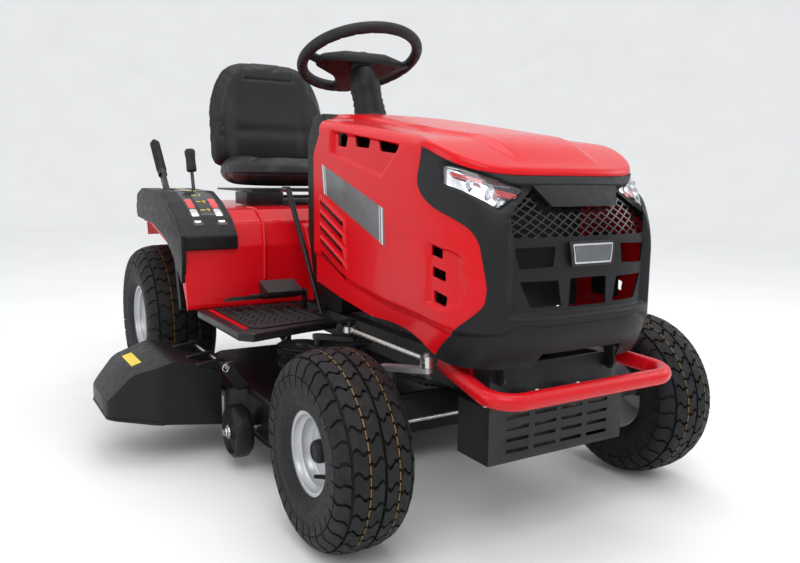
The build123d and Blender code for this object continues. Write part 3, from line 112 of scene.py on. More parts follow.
RED = finish("red_paint", (0.60, 0.003, 0.008), 0.24, vary=0.02, grain=0.02, grain_scale=260.0,
             coat=0.14, coat_rough=0.05, rough_vary=0.03, specular=0.16)
RED_TUBE = finish("red_powder", (0.58, 0.004, 0.010), 0.30, vary=0.04, grain=0.14, grain_scale=520.0,
                  coat=0.14, coat_rough=0.10, specular=0.25)
PLASTIC = finish("charcoal_plastic", (0.0085, 0.009, 0.010), 0.46, vary=0.10, grain=0.25, grain_scale=1400.0,
                 cells=0.10, cell_scale=900.0, specular=0.24)
GLOSS_BLACK = finish("gloss_black", (0.008, 0.008, 0.009), 0.20, grain=0.03, coat=0.25, specular=0.4)
BLACK_PAINT = finish("black_powder_coat", (0.007, 0.007, 0.008), 0.38, vary=0.2, grain=0.22,
                     grain_scale=700.0,
                     wear=0.25, coat=0.04, coat_rough=0.3, specular=0.28)
DARK_CAST = finish("dark_cast_metal", (0.045, 0.046, 0.048), 0.55, 0.4, vary=0.25, grain=0.5,
                   grain_scale=420.0, wear=0.3)
CAST = finish("cast_aluminium", (0.34, 0.34, 0.35), 0.45, 0.85, vary=0.12, grain=0.4, grain_scale=380.0,
              wear=0.2)
STEEL = finish("zinc_steel", (0.62, 0.61, 0.58), 0.26, 0.95, vary=0.10, vary_scale=60.0, grain=0.12,
               rough_vary=0.10)
CHROME = finish("polished_steel", (0.74, 0.74, 0.75), 0.12, 1.0, vary=0.04, grain=0.03, rough_vary=0.05)
BLADE_STEEL = finish("blade_steel", (0.20, 0.20, 0.21), 0.42, 0.9, vary=0.25, grain=0.3, wear=0.6)
RIM = finish("rim_enamel", (0.46, 0.47, 0.49), 0.36, 0.55, vary=0.05, grain=0.10, grain_scale=600.0, coat=0.3)
RUBBER = finish("tyre_rubber", (0.010, 0.010, 0.011), 0.62, vary=0.25, vary_scale=40.0, grain=0.45,
                grain_scale=800.0, dust=0.05, rough_vary=0.10, specular=0.24)
SOFT_RUBBER = finish("grip_rubber", (0.010, 0.010, 0.011), 0.58, grain=0.35, grain_scale=1500.0,
                     specular=0.35)
VINYL = finish("seat_vinyl", (0.011, 0.0115, 0.0125), 0.42, vary=0.10, grain=0.20, grain_scale=700.0,
               cells=0.30, cell_scale=620.0, rough_vary=0.06, specular=0.28)
EXHAUST = finish("exhaust_steel", (0.16, 0.13, 0.11), 0.6, 0.7, vary=0.35, grain=0.4, dust=0.2)
TANK = finish("tank_plastic", (0.35, 0.34, 0.30), 0.45, vary=0.08, grain=0.1)
YELLOW = finish("yellow_label", (0.80, 0.58, 0.02), 0.42, vary=0.05, grain=0.05)
AMBER = finish("tread_mark", (0.16, 0.09, 0.02), 0.6, vary=0.2, grain=0.2)
WHITE_MARK = finish("white_mark", (0.72, 0.73, 0.74), 0.35, vary=0.04, grain=0.05)
GREY_DECAL = finish("grey_decal", (0.09, 0.095, 0.10), 0.30, vary=0.25, vary_scale=9.0, grain=0.05, coat=0.3)
RED_LAMP = finish("red_lamp", (0.70, 0.01, 0.01), 0.15, vary=0.1, grain=0.02, coat=0.6)
REFLECTOR = finish("lamp_reflector", (0.86, 0.86, 0.88), 0.10, 0.9, vary=0.05, vary_scale=90.0, grain=0.3,
                   grain_scale=160.0)


def glass(name, colour, rough):
    """Clear moulded lens with faint flutes."""
    material = bpy.data.materials.new(name)
    material.use_nodes = True
    tree = material.node_tree
    shader = tree.nodes["Principled BSDF"]
    shader.inputs["Base Color"].default_value = (*colour, 1.0)
    shader.inputs["Roughness"].default_value = rough
    shader.inputs["Transmission Weight"].default_value = 1.0
    shader.inputs["IOR"].default_value = 1.45
    place = tree.nodes.new("ShaderNodeTexCoord")
    wave = tree.nodes.new("ShaderNodeTexWave")
    wave.inputs["Scale"].default_value = 40.0
    bump = tree.nodes.new("ShaderNodeBump")
    bump.inputs["Strength"].default_value = 0.08
    bump.inputs["Distance"].default_value = 0.0005
    tree.links.new(place.outputs["Object"], wave.inputs["Vector"])
    tree.links.new(wave.outputs["Fac"], bump.inputs["Height"])
    tree.links.new(bump.outputs["Normal"], shader.inputs["Normal"])
    return material


LENS = glass("clear_lens", (0.95, 0.97, 1.0), 0.03)


# -------------------------------------------------------------------- helpers
def mesh_piece(name, points, faces, material, body, slot=None, stands_for=(), sharp=38.0, smooth=True):
    """A mesh object from points in millimetres, riding on a body."""
    mesh = bpy.data.meshes.new(name)
    mesh.from_pydata([tuple(c * MM for c in p) for p in points], [], faces)
    mesh.validate()
    obj = bpy.data.objects.new(name, mesh)
    bpy.context.scene.collection.objects.link(obj)
    tidy(obj, sharp, smooth)
    mesh.materials.append(material)
    if body:
        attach(obj, body)
    if stands_for:
        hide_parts(*stands_for)
    return obj


def tidy(obj, sharp=38.0, smooth=True):
    """Weld, turn the faces outwards, and shade smoothly up to the sharp angle."""
    work = bmesh.new()
    work.from_mesh(obj.data)
    bmesh.ops.remove_doubles(work, verts=work.verts, dist=0.02 * MM)
    bmesh.ops.dissolve_degenerate(work, edges=work.edges, dist=0.005 * MM)
    loose = [v for v in work.verts if not v.link_faces]
    bmesh.ops.delete(work, geom=loose, context="VERTS")
    bmesh.ops.recalc_face_normals(work, faces=work.faces)
    limit = math.radians(sharp)
    for face in work.faces:
        face.smooth = smooth
    for edge in work.edges:
        edge.smooth = len(edge.link_faces) == 2 and edge.calc_face_angle(0.0) < limit
    work.to_mesh(obj.data)
    work.free()


def modify(obj, kind, sharp=38.0, **settings):
    """Add a modifier, apply it, and leave a plain mesh."""
    modifier = obj.modifiers.new(kind.lower(), kind)
    for key, value in settings.items():
        setattr(modifier, key, value)
    graph = bpy.context.evaluated_depsgraph_get()
    result = bpy.data.meshes.new_from_object(obj.evaluated_get(graph))
    obj.modifiers.clear()
    obj.data = result
    tidy(obj, sharp)
    return obj


def cut(obj, *cutters, how="DIFFERENCE", sharp=38.0):
    """Boolean with scratch solids, which are then removed."""
    for cutter in cutters:
        modify(obj, "BOOLEAN", sharp, operation=how, object=cutter, solver="EXACT")
        bpy.data.objects.remove(cutter)
    return obj


def grid(rows, closed_across=False, closed_along=False):
    """Points and faces of a sheet from rows of points."""
    wide = len(rows[0])
    points = [p for row in rows for p in row]
    faces = []
    for i in range(len(rows) - (0 if closed_along else 1)):
        for j in range(wide - (0 if closed_across else 1)):
            a, b = i * wide, ((i + 1) % len(rows)) * wide
            k = (j + 1) % wide
            faces.append((a + j, a + k, b + k, b + j))
    return points, faces


def lathe(name, profile, centre, material, body, axis="X", steps=72, **extra):
    """Turn a closed or open profile of (along, radius) points about an axis through the centre."""
    rows = []
    for step in range(steps):
        turn = 2 * math.pi * step / steps
        c, s = math.cos(turn), math.sin(turn)
        row = []
        for along, radius in profile:
            if axis == "X":
                row.append((centre[0] + along, centre[1] + radius * c, centre[2] + radius * s))
            elif axis == "Y":
                row.append((centre[0] + radius * c, centre[1] + along, centre[2] + radius * s))
            else:
                row.append((centre[0] + radius * c, centre[1] + radius * s, centre[2] + along))
        rows.append(row)
    points, faces = grid(rows, closed_along=True)
    return mesh_piece(name, points, faces, material, body, **extra)


def corners(outline, radius, steps=4):
    """Round every corner of a closed outline. A corner may give its own radius as a third number."""
    result = []
    count = len(outline)
    for i, corner in enumerate(outline):
        here = Vector(corner[:2])
        back = Vector(outline[i - 1][:2]) - here
        ahead = Vector(outline[(i + 1) % count][:2]) - here
        own = corner[2] if len(corner) > 2 else radius
        if own <= 0:
            result.append(tuple(here))
            continue
        half = back.angle(ahead) / 2
        reach = min(own / math.tan(half), back.length * 0.45, ahead.length * 0.45)
        start, end = here + back.normalized() * reach, here + ahead.normalized() * reach
        for k in range(steps + 1):
            t = k / steps
            result.append(tuple(start * (1 - t) ** 2 + here * 2 * t * (1 - t) + end * t * t))
    return result


def prism(name, outline, axis, low, high, material=None, body=None, **extra):
    """A solid between two planes from an outline seen along an axis: X gives (y, z), Y (x, z), Z (x, y)."""
    def place(pair, level):
        a, b = pair
        return {"X": (level, a, b), "Y": (a, level, b), "Z": (a, b, level)}[axis]
    count = len(outline)
    points = [place(p, low) for p in outline] + [place(p, high) for p in outline]
    faces = [tuple(range(count)), tuple(range(2 * count - 1, count - 1, -1))]
    faces += [(i, (i + 1) % count, count + (i + 1) % count, count + i) for i in range(count)]
    return mesh_piece(name, points, faces, material or PLASTIC, body, **extra)


def cutter(outline, axis, low, high):
    return prism("scratch", outline, axis, low, high)


def box_cutter(low, high):
    outline = [(low[0], low[1]), (high[0], low[1]), (high[0], high[1]), (low[0], high[1])]
    return cutter(outline, "Z", low[2], high[2])


def soften(obj, width, steps=3, angle=28.0, sharp=38.0):
    """Round the edges of a solid."""
    return modify(
        obj, "BEVEL", sharp, width=width * MM, segments=steps, limit_method="ANGLE",
        angle_limit=math.radians(angle), miter_outer="MITER_ARC", use_clamp_overlap=True,
    )


def smooth_path(points, steps=8, closed=False):
    """Catmull-Rom curve through points."""
    path = []
    count = len(points)
    spans = count if closed else count - 1
    for i in range(spans):
        if closed:
            p = [Vector(points[(i + k - 1) % count]) for k in range(4)]
        else:
            p = [Vector(points[min(max(i + k - 1, 0), count - 1)]) for k in range(4)]
        for k in range(steps):
            t = k / steps
            path.append(0.5 * (
                2 * p[1] + (p[2] - p[0]) * t + (2 * p[0] - 5 * p[1] + 4 * p[2] - p[3]) * t * t
                + (3 * p[1] - p[0] - 3 * p[2] + p[3]) * t ** 3
            ))
    if not closed:
        path.append(Vector(points[-1]))
    return path


def tube(name, path, radius, material, body, sides=14, closed=False, **extra):
    """Sweep a circle along a path. The radius may be a function of the share of the path's count."""
    path = [Vector(p) for p in path]
    count = len(path)
    rows = []
    tangent = (path[1] - path[0]).normalized()
    normal = tangent.orthogonal().normalized()
    for i, point in enumerate(path):
        ahead = path[(i + 1) % count] if closed or i + 1 < count else path[i]
        back = path[i - 1] if closed or i else path[i]
        direction = (ahead - back).normalized()
        turn = tangent.rotation_difference(direction)
        normal = (turn @ normal).normalized()
        tangent = direction
        side = tangent.cross(normal)
        size = radius(i / (count - 1)) if callable(radius) else radius
        rows.append([
            tuple(point + size * (math.cos(a) * normal + math.sin(a) * side))
            for a in (2 * math.pi * k / sides for k in range(sides))
        ])
    points, faces = grid(rows, closed_across=True, closed_along=closed)
    if not closed:
        faces.append(tuple(range(sides)))
        faces.append(tuple(range(len(points) - 1, len(points) - sides - 1, -1)))
    return mesh_piece(name, points, faces, material, body, **extra)


def step_up(value, low, high):
    t = min(1.0, max(0.0, (value - low) / (high - low)))
    return t * t * (3 - 2 * t)


def along(table, value):
    """Linear reading of a table of (key, value) pairs."""
    if value <= table[0][0]:
        return table[0][1]
    for (a, fa), (b, fb) in zip(table, table[1:]):
        if value <= b:
            return fa + (fb - fa) * (value - a) / (b - a)
    return table[-1][1]


def inside(outline, a, b):
    """Signed distance-like test: distance to the outline, positive inside."""
    best = 1e9
    hit = False
    count = len(outline)
    for i in range(count):
        (x0, y0), (x1, y1) = outline[i], outline[(i + 1) % count]
        dx, dy = x1 - x0, y1 - y0
        t = max(0.0, min(1.0, ((a - x0) * dx + (b - y0) * dy) / (dx * dx + dy * dy)))
        best = min(best, math.hypot(a - x0 - t * dx, b - y0 - t * dy))
        if (y0 > b) != (y1 > b) and a < x0 + (b - y0) * dx / dy:
            hit = not hit
    return best if hit else -best


def paint(material, *names):
    """Give carried-over CAD nodes a better finish."""
    for name in names:
        obj = nodes[name]
        obj.data.materials.clear()
        obj.data.materials.append(material)


def bolt(name, centre, direction, body, size=8.0, height=6.0, material=None, washer=True):
    """Hexagon bolt head with a chamfered top on a washer."""
    out = Vector(direction).normalized()
    side = out.orthogonal().normalized()
    up = out.cross(side)
    rings = [(size * 1.5, 0.0, 24), (size * 1.5, 1.4, 24)] if washer else []
    base = 1.4 if washer else 0.0
    points, faces = [], []
    for radius, level, count in rings:
        points += [
            Vector(centre) + out * level + radius * (math.cos(a) * side + math.sin(a) * up)
            for a in (2 * math.pi * k / 24 for k in range(24))
        ]
    if washer:
        faces += [(k, (k + 1) % 24, 24 + (k + 1) % 24, 24 + k) for k in range(24)]
        faces.append(tuple(range(24, 48)))
    first = len(points)
    for radius, level in ((size, base), (size, base + height * 0.8), (size * 0.86, base + height)):
        points += [
            Vector(centre) + out * level + radius * (math.cos(a) * side + math.sin(a) * up)
            for a in (math.pi * k / 3 for k in range(6))
        ]
    for ring in range(2):
        a = first + 6 * ring
        faces += [(a + k, a + (k + 1) % 6, a + 6 + (k + 1) % 6, a + 6 + k) for k in range(6)]
    faces.append(tuple(range(first + 12, first + 18)))
    return mesh_piece(name, points, faces, material or STEEL, body, slot="bright_steel", sharp=25.0)


# --------------------------------------------------------------------- wheels
def tyre_profile(radius, width, bead, rim_half, lift):
    """Half of the tyre's outside from the crown to the bead, as (across, radius) points."""
    middle = bead + 0.50 * (radius - bead)
    half = width / 2 - 3.0
    points = []
    power = 2.0 / 2.7
    for k in range(41):
        t = math.radians(100.0 * k / 40)
        c, s = math.cos(t), math.sin(t)
        points.append((
            half * abs(s) ** power,
            middle + (radius - lift - middle) * math.copysign(abs(c) ** power, c),
        ))
    end = points[-1]
    for k in range(1, 9):
        t = k / 8
        bend = math.sin(t * math.pi) * 3.0
        points.append((end[0] + (rim_half + 3.0 - end[0]) * t ** 1.5 + bend * 0.5,
                       end[1] + (bead + 4 - end[1]) * t))
    return points


def tyre_piece(name, body, centre, radius, width, bead, rim_half, pitches, node, stripe):
    """A tyre casing, its raised tread blocks in staggered rows, and the thin dashed lines in its grooves."""
    lift = 7.0
    half = tyre_profile(radius, width, bead, rim_half, lift)
    ring = [(-a, r) for a, r in reversed(half[1:])] + half
    inner = [(a * 0.90, r - 8.0 if r > bead + 20 else r) for a, r in ring[6:-6]]
    profile = ring + list(reversed(inner))
    casing = lathe(name, profile + [profile[0]], centre, RUBBER, body, steps=120, slot="tyre",
                   stands_for=(node,))
    casing.data.materials.append(AMBER)
    lengths = [0.0]
    for (a0, r0), (a1, r1) in zip(half, half[1:]):
        lengths.append(lengths[-1] + math.hypot(a1 - a0, r1 - r0))

    def on_profile(distance, raised):
        """Point on the tread at a distance from the crown line, lifted along its normal."""
        sign = math.copysign(1.0, distance)
        d = abs(distance)
        k = max(i for i, length in enumerate(lengths[:-1]) if length <= d)
        t = (d - lengths[k]) / (lengths[k + 1] - lengths[k])
        (a0, r0), (a1, r1) = half[k], half[k + 1]
        a, r = a0 + (a1 - a0) * t, r0 + (r1 - r0) * t
        run = math.hypot(a1 - a0, r1 - r0)
        normal = ((r0 - r1) / run, (a1 - a0) / run)
        return sign * (a + normal[0] * raised), r + normal[1] * raised

    reach = width * 0.5
    rows = (
        (0.03, 0.34, 0.0, 7.0, 7.0, 0.16), (0.38, 0.70, 0.5, 7.0, 6.6, -0.16),
        (0.74, 1.16, 0.0, 6.4, 3.4, 0.10), (1.17, 1.42, 0.0, 3.0, 0.9, 0.0),
    )
    points, faces = [], []
    for side in (-1, 1):
        for low, high, phase, top_low, top_high, wave in rows:
            columns = 6
            for block in range(pitches):
                start = block + phase + (0.25 if side > 0 else 0.0)
                base = len(points)
                for level in (0, 1):
                    for edge, share in ((0, 0.07), (1, 0.93)):
                        for k in range(columns):
                            t = k / (columns - 1)
                            shrink = 0.06 if level else 0.0
                            spread = low + (high - low) * (t + (0.5 - t) * shrink)
                            bow = wave * math.sin(2 * math.pi * t) * side
                            turn = start + share + (0.5 - share) * shrink * 0.8 + bow
                            turn *= 2 * math.pi / pitches
                            raised = (top_low + (top_high - top_low) * t) if level else -0.6
                            a, r = on_profile(side * spread * reach, raised)
                            points.append((
                                centre[0] + a, centre[1] + r * math.cos(turn), centre[2] + r * math.sin(turn),
                            ))
                n = columns
                low_a, low_b, top_a, top_b = (base + n * row for row in range(4))
                for k in range(n - 1):
                    faces.append((top_a + k, top_a + k + 1, top_b + k + 1, top_b + k))
                    faces.append((low_a + k, low_a + k + 1, top_a + k + 1, top_a + k))
                    faces.append((low_b + k, top_b + k, top_b + k + 1, low_b + k + 1))
                    faces.append((low_a + k, low_b + k, low_b + k + 1, low_a + k + 1))
                faces.append((low_a, top_a, top_b, low_b))
                faces.append((low_a + n - 1, low_b + n - 1, top_b + n - 1, top_a + n - 1))
    mesh_piece(name + "_tread", points, faces, RUBBER, body, slot="tyre", sharp=30.0)
    for index, offset in enumerate(stripe):
        rows = []
        for block in range(240):
            turn = 2 * math.pi * block / 240
            row = []
            for d in (-1.1, 1.1):
                a, r = on_profile(offset + d, 7.25)
                row.append((centre[0] + a, centre[1] + r * math.cos(turn), centre[2] + r * math.sin(turn)))
            rows.append(row)
        kept = [
            (2 * i, 2 * i + 1, 2 * ((i + 1) % 240) + 1, 2 * ((i + 1) % 240))
            for i in range(240)
            if (i / 240 * pitches + 0.08) % 0.5 > 0.09
        ]
        flat = [p for row in rows for p in row]
        mesh_piece(f"{name}_line_{index}", flat, kept, AMBER, body, slot="tyre")


def rim_piece(name, body, centre, side, bead, flange, half, hub, node, extra_nodes=()):
    """Pressed rim: rolled flange, stepped well, dished disc and a black hub cap."""
    s = side
    outer = [
        (half - 3, flange - 1), (half - 1, flange + 1.5), (half + 1.5, flange), (half + 1.5, flange - 4),
        (half - 1, bead - 3), (half - 10, bead - 5), (half - 14, bead - 12), (half - 30, bead - 14),
        (half - 34, bead - 20), (half * 0.42, bead - 22), (half * 0.36, bead - 27), (half * 0.34, hub + 16),
        (half * 0.38, hub + 10), (half * 0.52, hub + 6), (half * 0.54, hub - 4),
    ]
    back = [
        (half * 0.30, hub - 4), (half * 0.30, bead - 30), (-half + 12, bead - 6), (-half, flange - 3),
        (-half - 1.5, flange), (-half, flange + 1.5), (-half + 4, flange), (-half + 4, bead - 1),
        (half - 6, bead - 1),
    ]
    profile = [(s * a, r) for a, r in outer + back]
    rim = lathe(name, profile + [profile[0]], centre, RIM, body, steps=96, slot="rim",
                stands_for=(node, *extra_nodes), sharp=50.0)
    cap = half * 0.54
    lathe(
        name + "_cap",
        [(s * a, r) for a, r in (
            (cap - 8, hub - 2), (cap + 1, hub + 3), (cap + 10, hub + 2), (cap + 15, hub - 1),
            (cap + 17, hub - 6),
            (cap + 15, hub - 8), (cap + 15, 0.01),
        )],
        centre, PLASTIC, body, steps=48, slot="black_plastic",
    )
    for k in range(4):
        turn = math.pi / 4 + k * math.pi / 2
        spot = (centre[0] + s * half * 0.35, centre[1] + (hub + 24) * math.cos(turn),
                centre[2] + (hub + 24) * math.sin(turn))
        if bead > 90:
            bolt(f"{name}_nut_{k}", spot, (s, 0, 0), body, size=6.5, height=7.0)
    turn = math.radians(250)
    stem = Vector((centre[0] + s * half * 0.40, centre[1] + (bead - 24) * math.cos(turn),
                   centre[2] + (bead - 24) * math.sin(turn)))
    tube(name + "_valve", [stem, stem + Vector((s * 16, 2, 5)), stem + Vector((s * 30, 3, 8))],
         lambda t: 5.0 - 1.5 * t, SOFT_RUBBER, body, sides=12, slot="rubber")
    return rim


HALF_TRACK = 400.0
WHEELBASE = 1250.0
# end, axle's y, tyre radius and width, bead and flange radius, half the rim, hub radius, pitches, lines
WHEEL_SIZES = (
    ("front", -WHEELBASE, 190.5, 155.0, 76.0, 87.0, 58.0, 20.0, 30, (-28.0, 27.0)),
    ("rear", 0.0, 235.0, 210.0, 101.0, 112.0, 85.0, 24.0, 32, (-38.0, 37.0)),
)
for wheel_side, word in ((-1, "right"), (1, "left")):
    for end, axle_y, radius, width, bead, flange_radius, rim_half, hub_radius, pitches, lines in WHEEL_SIZES:
        middle, wheel = (wheel_side * HALF_TRACK, axle_y, radius), f"{end}_wheel_{word}"
        tyre_piece(f"{end}_tyre_form_{word}", wheel, middle, radius, width, bead, rim_half, pitches,
                   f"{end}_tyre_{word}", lines)
        rim_piece(f"{end}_rim_form_{word}", wheel, middle, wheel_side, bead, flange_radius, rim_half,
                  hub_radius,
                  f"{end}_rim_{word}")
    tube(f"rear_shaft_form_{word}", [(wheel_side * 152, 0, 235), (wheel_side * 440, 0, 235)], 12.4, STEEL,
         f"rear_wheel_{word}", sides=24, slot="bright_steel")


# ----------------------------------------------------------------------- hood
HOOD_CENTRE = -1250.0
HOOD_HALF = 240.0
NOSE_POWER = 3.6
CENTRE_LINE = ((-1500, 704), (-1430, 724), (-1400, 738), (-1351, 762), (-1290, 786), (-1166, 804),
               (-1000, 829),
               (-876, 847), (-716, 862))
SIDE_DROP = ((-1500, 6), (-1290, 6), (-1156, 10), (-992, 14), (-821, 18), (-716, 20))
HOOD_FOOT = ((-1500, 358), (-1430, 358), (-1367, 361), (-1323, 372), (-1247, 398), (-1172, 404), (-1065, 400),
             (-981, 410), (-919, 416), (-790, 437), (-700, 440))


def smooth_table(table, value, span=26.0):
    """A table read with its corners rounded off."""
    return sum(along(table, value + span * k / 3) for k in (-3, -2, -1, 0, 1, 2, 3)) / 7


def nose_y(z):
    """Where the middle of the nose stands at a height."""
    lean = 60.0 * (max(0.0, z - 560.0) / 140.0) ** 2
    tuck = 20.0 * (max(0.0, 430.0 - z) / 60.0) ** 2
    return -1496.0 + lean + tuck


def hood_top_z(x, y):
    """Height of the hood's top, with its raised middle."""
    rise = smooth_table(CENTRE_LINE, y)
    crease = 96.0 + 40.0 * step_up(y, -1430.0, -1150.0)
    raised = 7.0 * step_up(crease - abs(x), -9.0, 9.0) * step_up(y, -1425.0, -1330.0)
    return rise - smooth_table(SIDE_DROP, y) * (x / HOOD_HALF) ** 2 - 7.0 + raised


def side_half(y):
    """Half the hood's width behind the nose."""
    return HOOD_HALF - 15.0 * (y - HOOD_CENTRE) / 490.0


def nose_at(x, z):
    """How far forward the nose reaches at a place on its face."""
    across = min(0.985, abs(x) / HOOD_HALF)
    return HOOD_CENTRE - (HOOD_CENTRE - nose_y(z)) * (1 - across ** NOSE_POWER) ** (1 / NOSE_POWER)


def hood_wall(share, z):
    """Point on the hood's plan outline. The share runs 0..1 from right rear to left rear."""
    depth = HOOD_CENTRE - nose_y(z)
    straight, turn = 0.36, 0.28
    side = -1.0
    if share > 0.5:
        side, share = 1.0, 1.0 - share
    if share < straight:
        y = -722.0 + (HOOD_CENTRE + 722.0) * share / straight
        return side * side_half(y), y, (side, 0.0)
    angle = math.pi / 2 * min(1.0, (share - straight) / (0.5 - straight))
    across, ahead = max(0.0, math.cos(angle)), math.sin(angle)
    reach = (across ** NOSE_POWER + ahead ** NOSE_POWER) ** (1 / NOSE_POWER)
    across, ahead = across / reach, ahead / reach
    normal = Vector((side * across ** (NOSE_POWER - 1) / HOOD_HALF,
                     -(ahead ** (NOSE_POWER - 1)) / depth)).normalized()
    return side * HOOD_HALF * across, HOOD_CENTRE - depth * ahead, (normal.x, normal.y)


SCOOP = corners([(-866, 806), (-1214, 768), (-1117, 697), (-866, 750)], 10.0)
SIDE_VENT = corners([(-1300, 583), (-1396, 568), (-1411, 500), (-1398, 474), (-1342, 454), (-1308, 462)],
                    12.0)
LOUVRE_FIELD = corners([(-806, 662), (-950, 606), (-966, 482), (-806, 520)], 8.0)
CREASE_LINE = ((-1400, 424), (-1292, 438), (-1140, 446), (-980, 466), (-880, 492), (-806, 512))
LOUVRE_COUNT = 5
LOUVRE_PITCH = 31.0
LOUVRE_FALL = 50.0 / 132.0


def louvre_phase(y, z):
    """Position within the row of louvres: whole numbers are the slots' centre lines."""
    return (636.0 - (-812.0 - y) * LOUVRE_FALL - z) / LOUVRE_PITCH


def red_relief(y, z):
    """How far the red side panel stands in from the plain form."""
    deep = 0.0
    if z > 680 and y < -840:
        deep = max(deep, 9.0 * step_up(inside(SCOOP, y, z), 0.0, 9.0))
    if y < -1280 and 430 < z < 600:
        deep = max(deep, 7.0 * step_up(inside(SIDE_VENT, y, z), 0.0, 6.0))
    if y > -985 and 470 < z < 680:
        field = step_up(inside(LOUVRE_FIELD, y, z), 0.0, 12.0)
        phase = louvre_phase(y, z)
        share = (phase + 0.5) % 1.0
        deep -= field * 5.5 * (1.0 - share) * step_up(share, 0.0, 0.12) * step_up(phase, -0.6, -0.4)
    if z < 540:
        deep += 7.0 * step_up(along(CREASE_LINE, y) - z, -2.0, 12.0)
    return deep


LIP_RADIUS = 10.0


def hood_shell_piece(name, relief, material, wall_steps=330, rise_steps=112, proud=0.0, thick=4.0, top=True):
    """One closed moulding over the hood's whole form, to be trimmed to its own outline."""
    rows = []
    for i in range(wall_steps + 1):
        share = i / wall_steps
        row = []
        x0, y0, _ = hood_wall(share, 560.0)
        shoulder = LIP_RADIUS + 14.0 * step_up(y0, -1330.0, -1240.0)
        foot = smooth_table(HOOD_FOOT, y0)
        for j in range(rise_steps + 1):
            crest = hood_top_z(*hood_wall(share, 700.0)[:2])
            z = foot + (crest - shoulder - foot) * j / rise_steps
            x, y, normal = hood_wall(share, z)
            inward = relief(x, y, z) - proud
            row.append((x - normal[0] * inward, y - normal[1] * inward, z))
        if top:
            for k in range(1, 7):
                bend = math.pi / 2 * k / 6
                x, y, normal = hood_wall(share, crest - shoulder)
                inset = shoulder * (1 - math.cos(bend)) - proud * math.cos(bend)
                px, py = x - normal[0] * inset, y - normal[1] * inset
                lift = hood_top_z(px, py) - shoulder * (1 - math.sin(bend)) + proud * math.sin(bend)
                row.append((px, py, lift))
            hub_y = max(HOOD_CENTRE + 60.0, y0)
            ex, ey, _ = row[-1]
            inner_steps = 40
            for k in range(1, inner_steps + 1):
                t = k / inner_steps
                px, py = ex * (1 - t), ey + (hub_y - ey) * t
                row.append((px, py, hood_top_z(px, py) + proud))
        rows.append(row)
    points, faces = grid(rows)
    obj = mesh_piece(name, points, faces, material, "hood")
    return modify(obj, "SOLIDIFY", thickness=thick * MM, offset=-1.0, use_even_offset=True)


BEZEL_EDGE = ((-1290, 800), (-1286, 740), (-1276, 690), (-1312, 655), (-1382, 629), (-1409, 617),
              (-1425, 605),
              (-1435, 590), (-1440, 575), (-1450, 517), (-1450, 497), (-1446, 477), (-1426, 455),
              (-1390, 425),
              (-1341, 377), (-1332, 330))


def edge_outline(offset):
    """The seam between the red panels and the front moulding, moved towards the rear by an offset."""
    line = smooth_path([(y + offset, z, 0.0) for y, z in BEZEL_EDGE], 4)
    return [(p.x, p.y) for p in line]


def lip_line(steps=44):
    """The red top's front edge, from the nose back to where it meets the side seam."""
    line = []
    for k in range(steps, -1, -1):
        share = 0.36 + 0.14 * k / steps
        z = hood_top_z(*hood_wall(share, 700.0)[:2]) - LIP_RADIUS
        y = hood_wall(share, z)[1]
        if y < -1294.0:
            line.append((y, z + 1.0))
    return line


body_panel = hood_shell_piece("hood_panels", lambda x, y, z: red_relief(y, z), RED)
lip = lip_line()
front_region = [p for p in edge_outline(0.0) if p[1] < 762.0] + [(-1700, 330), (-1700, lip[0][1])] + lip
cut(body_panel, cutter(front_region, "X", -400, 400))
REAR_EDGE = [(-770, 300), (-772, 600), (-770, 752), (-806, 800), (-780, 900), (-500, 900), (-500, 300)]
for low_x, high_x in ((-400, -150), (150, 400)):
    cut(body_panel, cutter(REAR_EDGE, "X", low_x, high_x))
for side in (-1, 1):
    near, far = sorted((side * 190, side * 290))
    for window in (
        [(-896, 800), (-950, 795), (-938, 765), (-896, 769)],
        [(-984, 790), (-1060, 781), (-1050, 760), (-990, 765)],
        [(-1096, 777), (-1184, 763), (-1170, 747), (-1104, 753)],
    ):
        cut(body_panel, cutter(corners(window, 4.0), "X", near, far))
    for index in range(LOUVRE_COUNT):
        z = 636.0 - LOUVRE_PITCH * index + 3.0
        drop = 132.0 * LOUVRE_FALL
        slot = [(-816, z + 6), (-944, z + 6 - drop * 0.97), (-944, z - 8 - drop * 0.97), (-816, z - 8)]
        cut(body_panel, cutter(corners(slot, 5.0), "X", near, far))
    for window in (
        [(-1312, 577), (-1346, 571), (-1346, 552), (-1312, 557)],
        [(-1316, 537), (-1356, 530), (-1356, 511), (-1316, 517)],
        [(-1321, 493), (-1362, 484), (-1358, 464), (-1323, 470)],
    ):
        cut(body_panel, cutter(corners(window, 3.0), "X", near, far))
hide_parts("hood_top", "hood_sides")
body_panel.data.materials.clear()
body_panel.data.materials.append(RED)


def grille_relief(x, y, z):
    """Depth of the front moulding behind its plain form."""
    deep = 0.0
    half = 177.0 - 26.0 * step_up(z, 600.0, 690.0)
    field = min(half - abs(x), z - 454.0, 694.0 - z)
    deep += 13.0 * step_up(field, 0.0, 12.0)
    if z < 446:
        slope = along(((0, 444), (114, 444), (147, 449), (183, 431), (232, 424)), abs(x))
        deep += 6.0 * step_up(slope - z, 0.0, 6.0)
    lamp = lamp_field(x, z)
    deep += 10.0 * step_up(lamp, -3.0, 4.0)
    return deep


LAMP = corners([(-231, 731), (-124, 680), (-181, 642), (-234, 690)], 6.0)


def lamp_field(x, z):
    """Distance inside the headlamp's outline, the same on both sides."""
    return inside(LAMP, -abs(x), z)


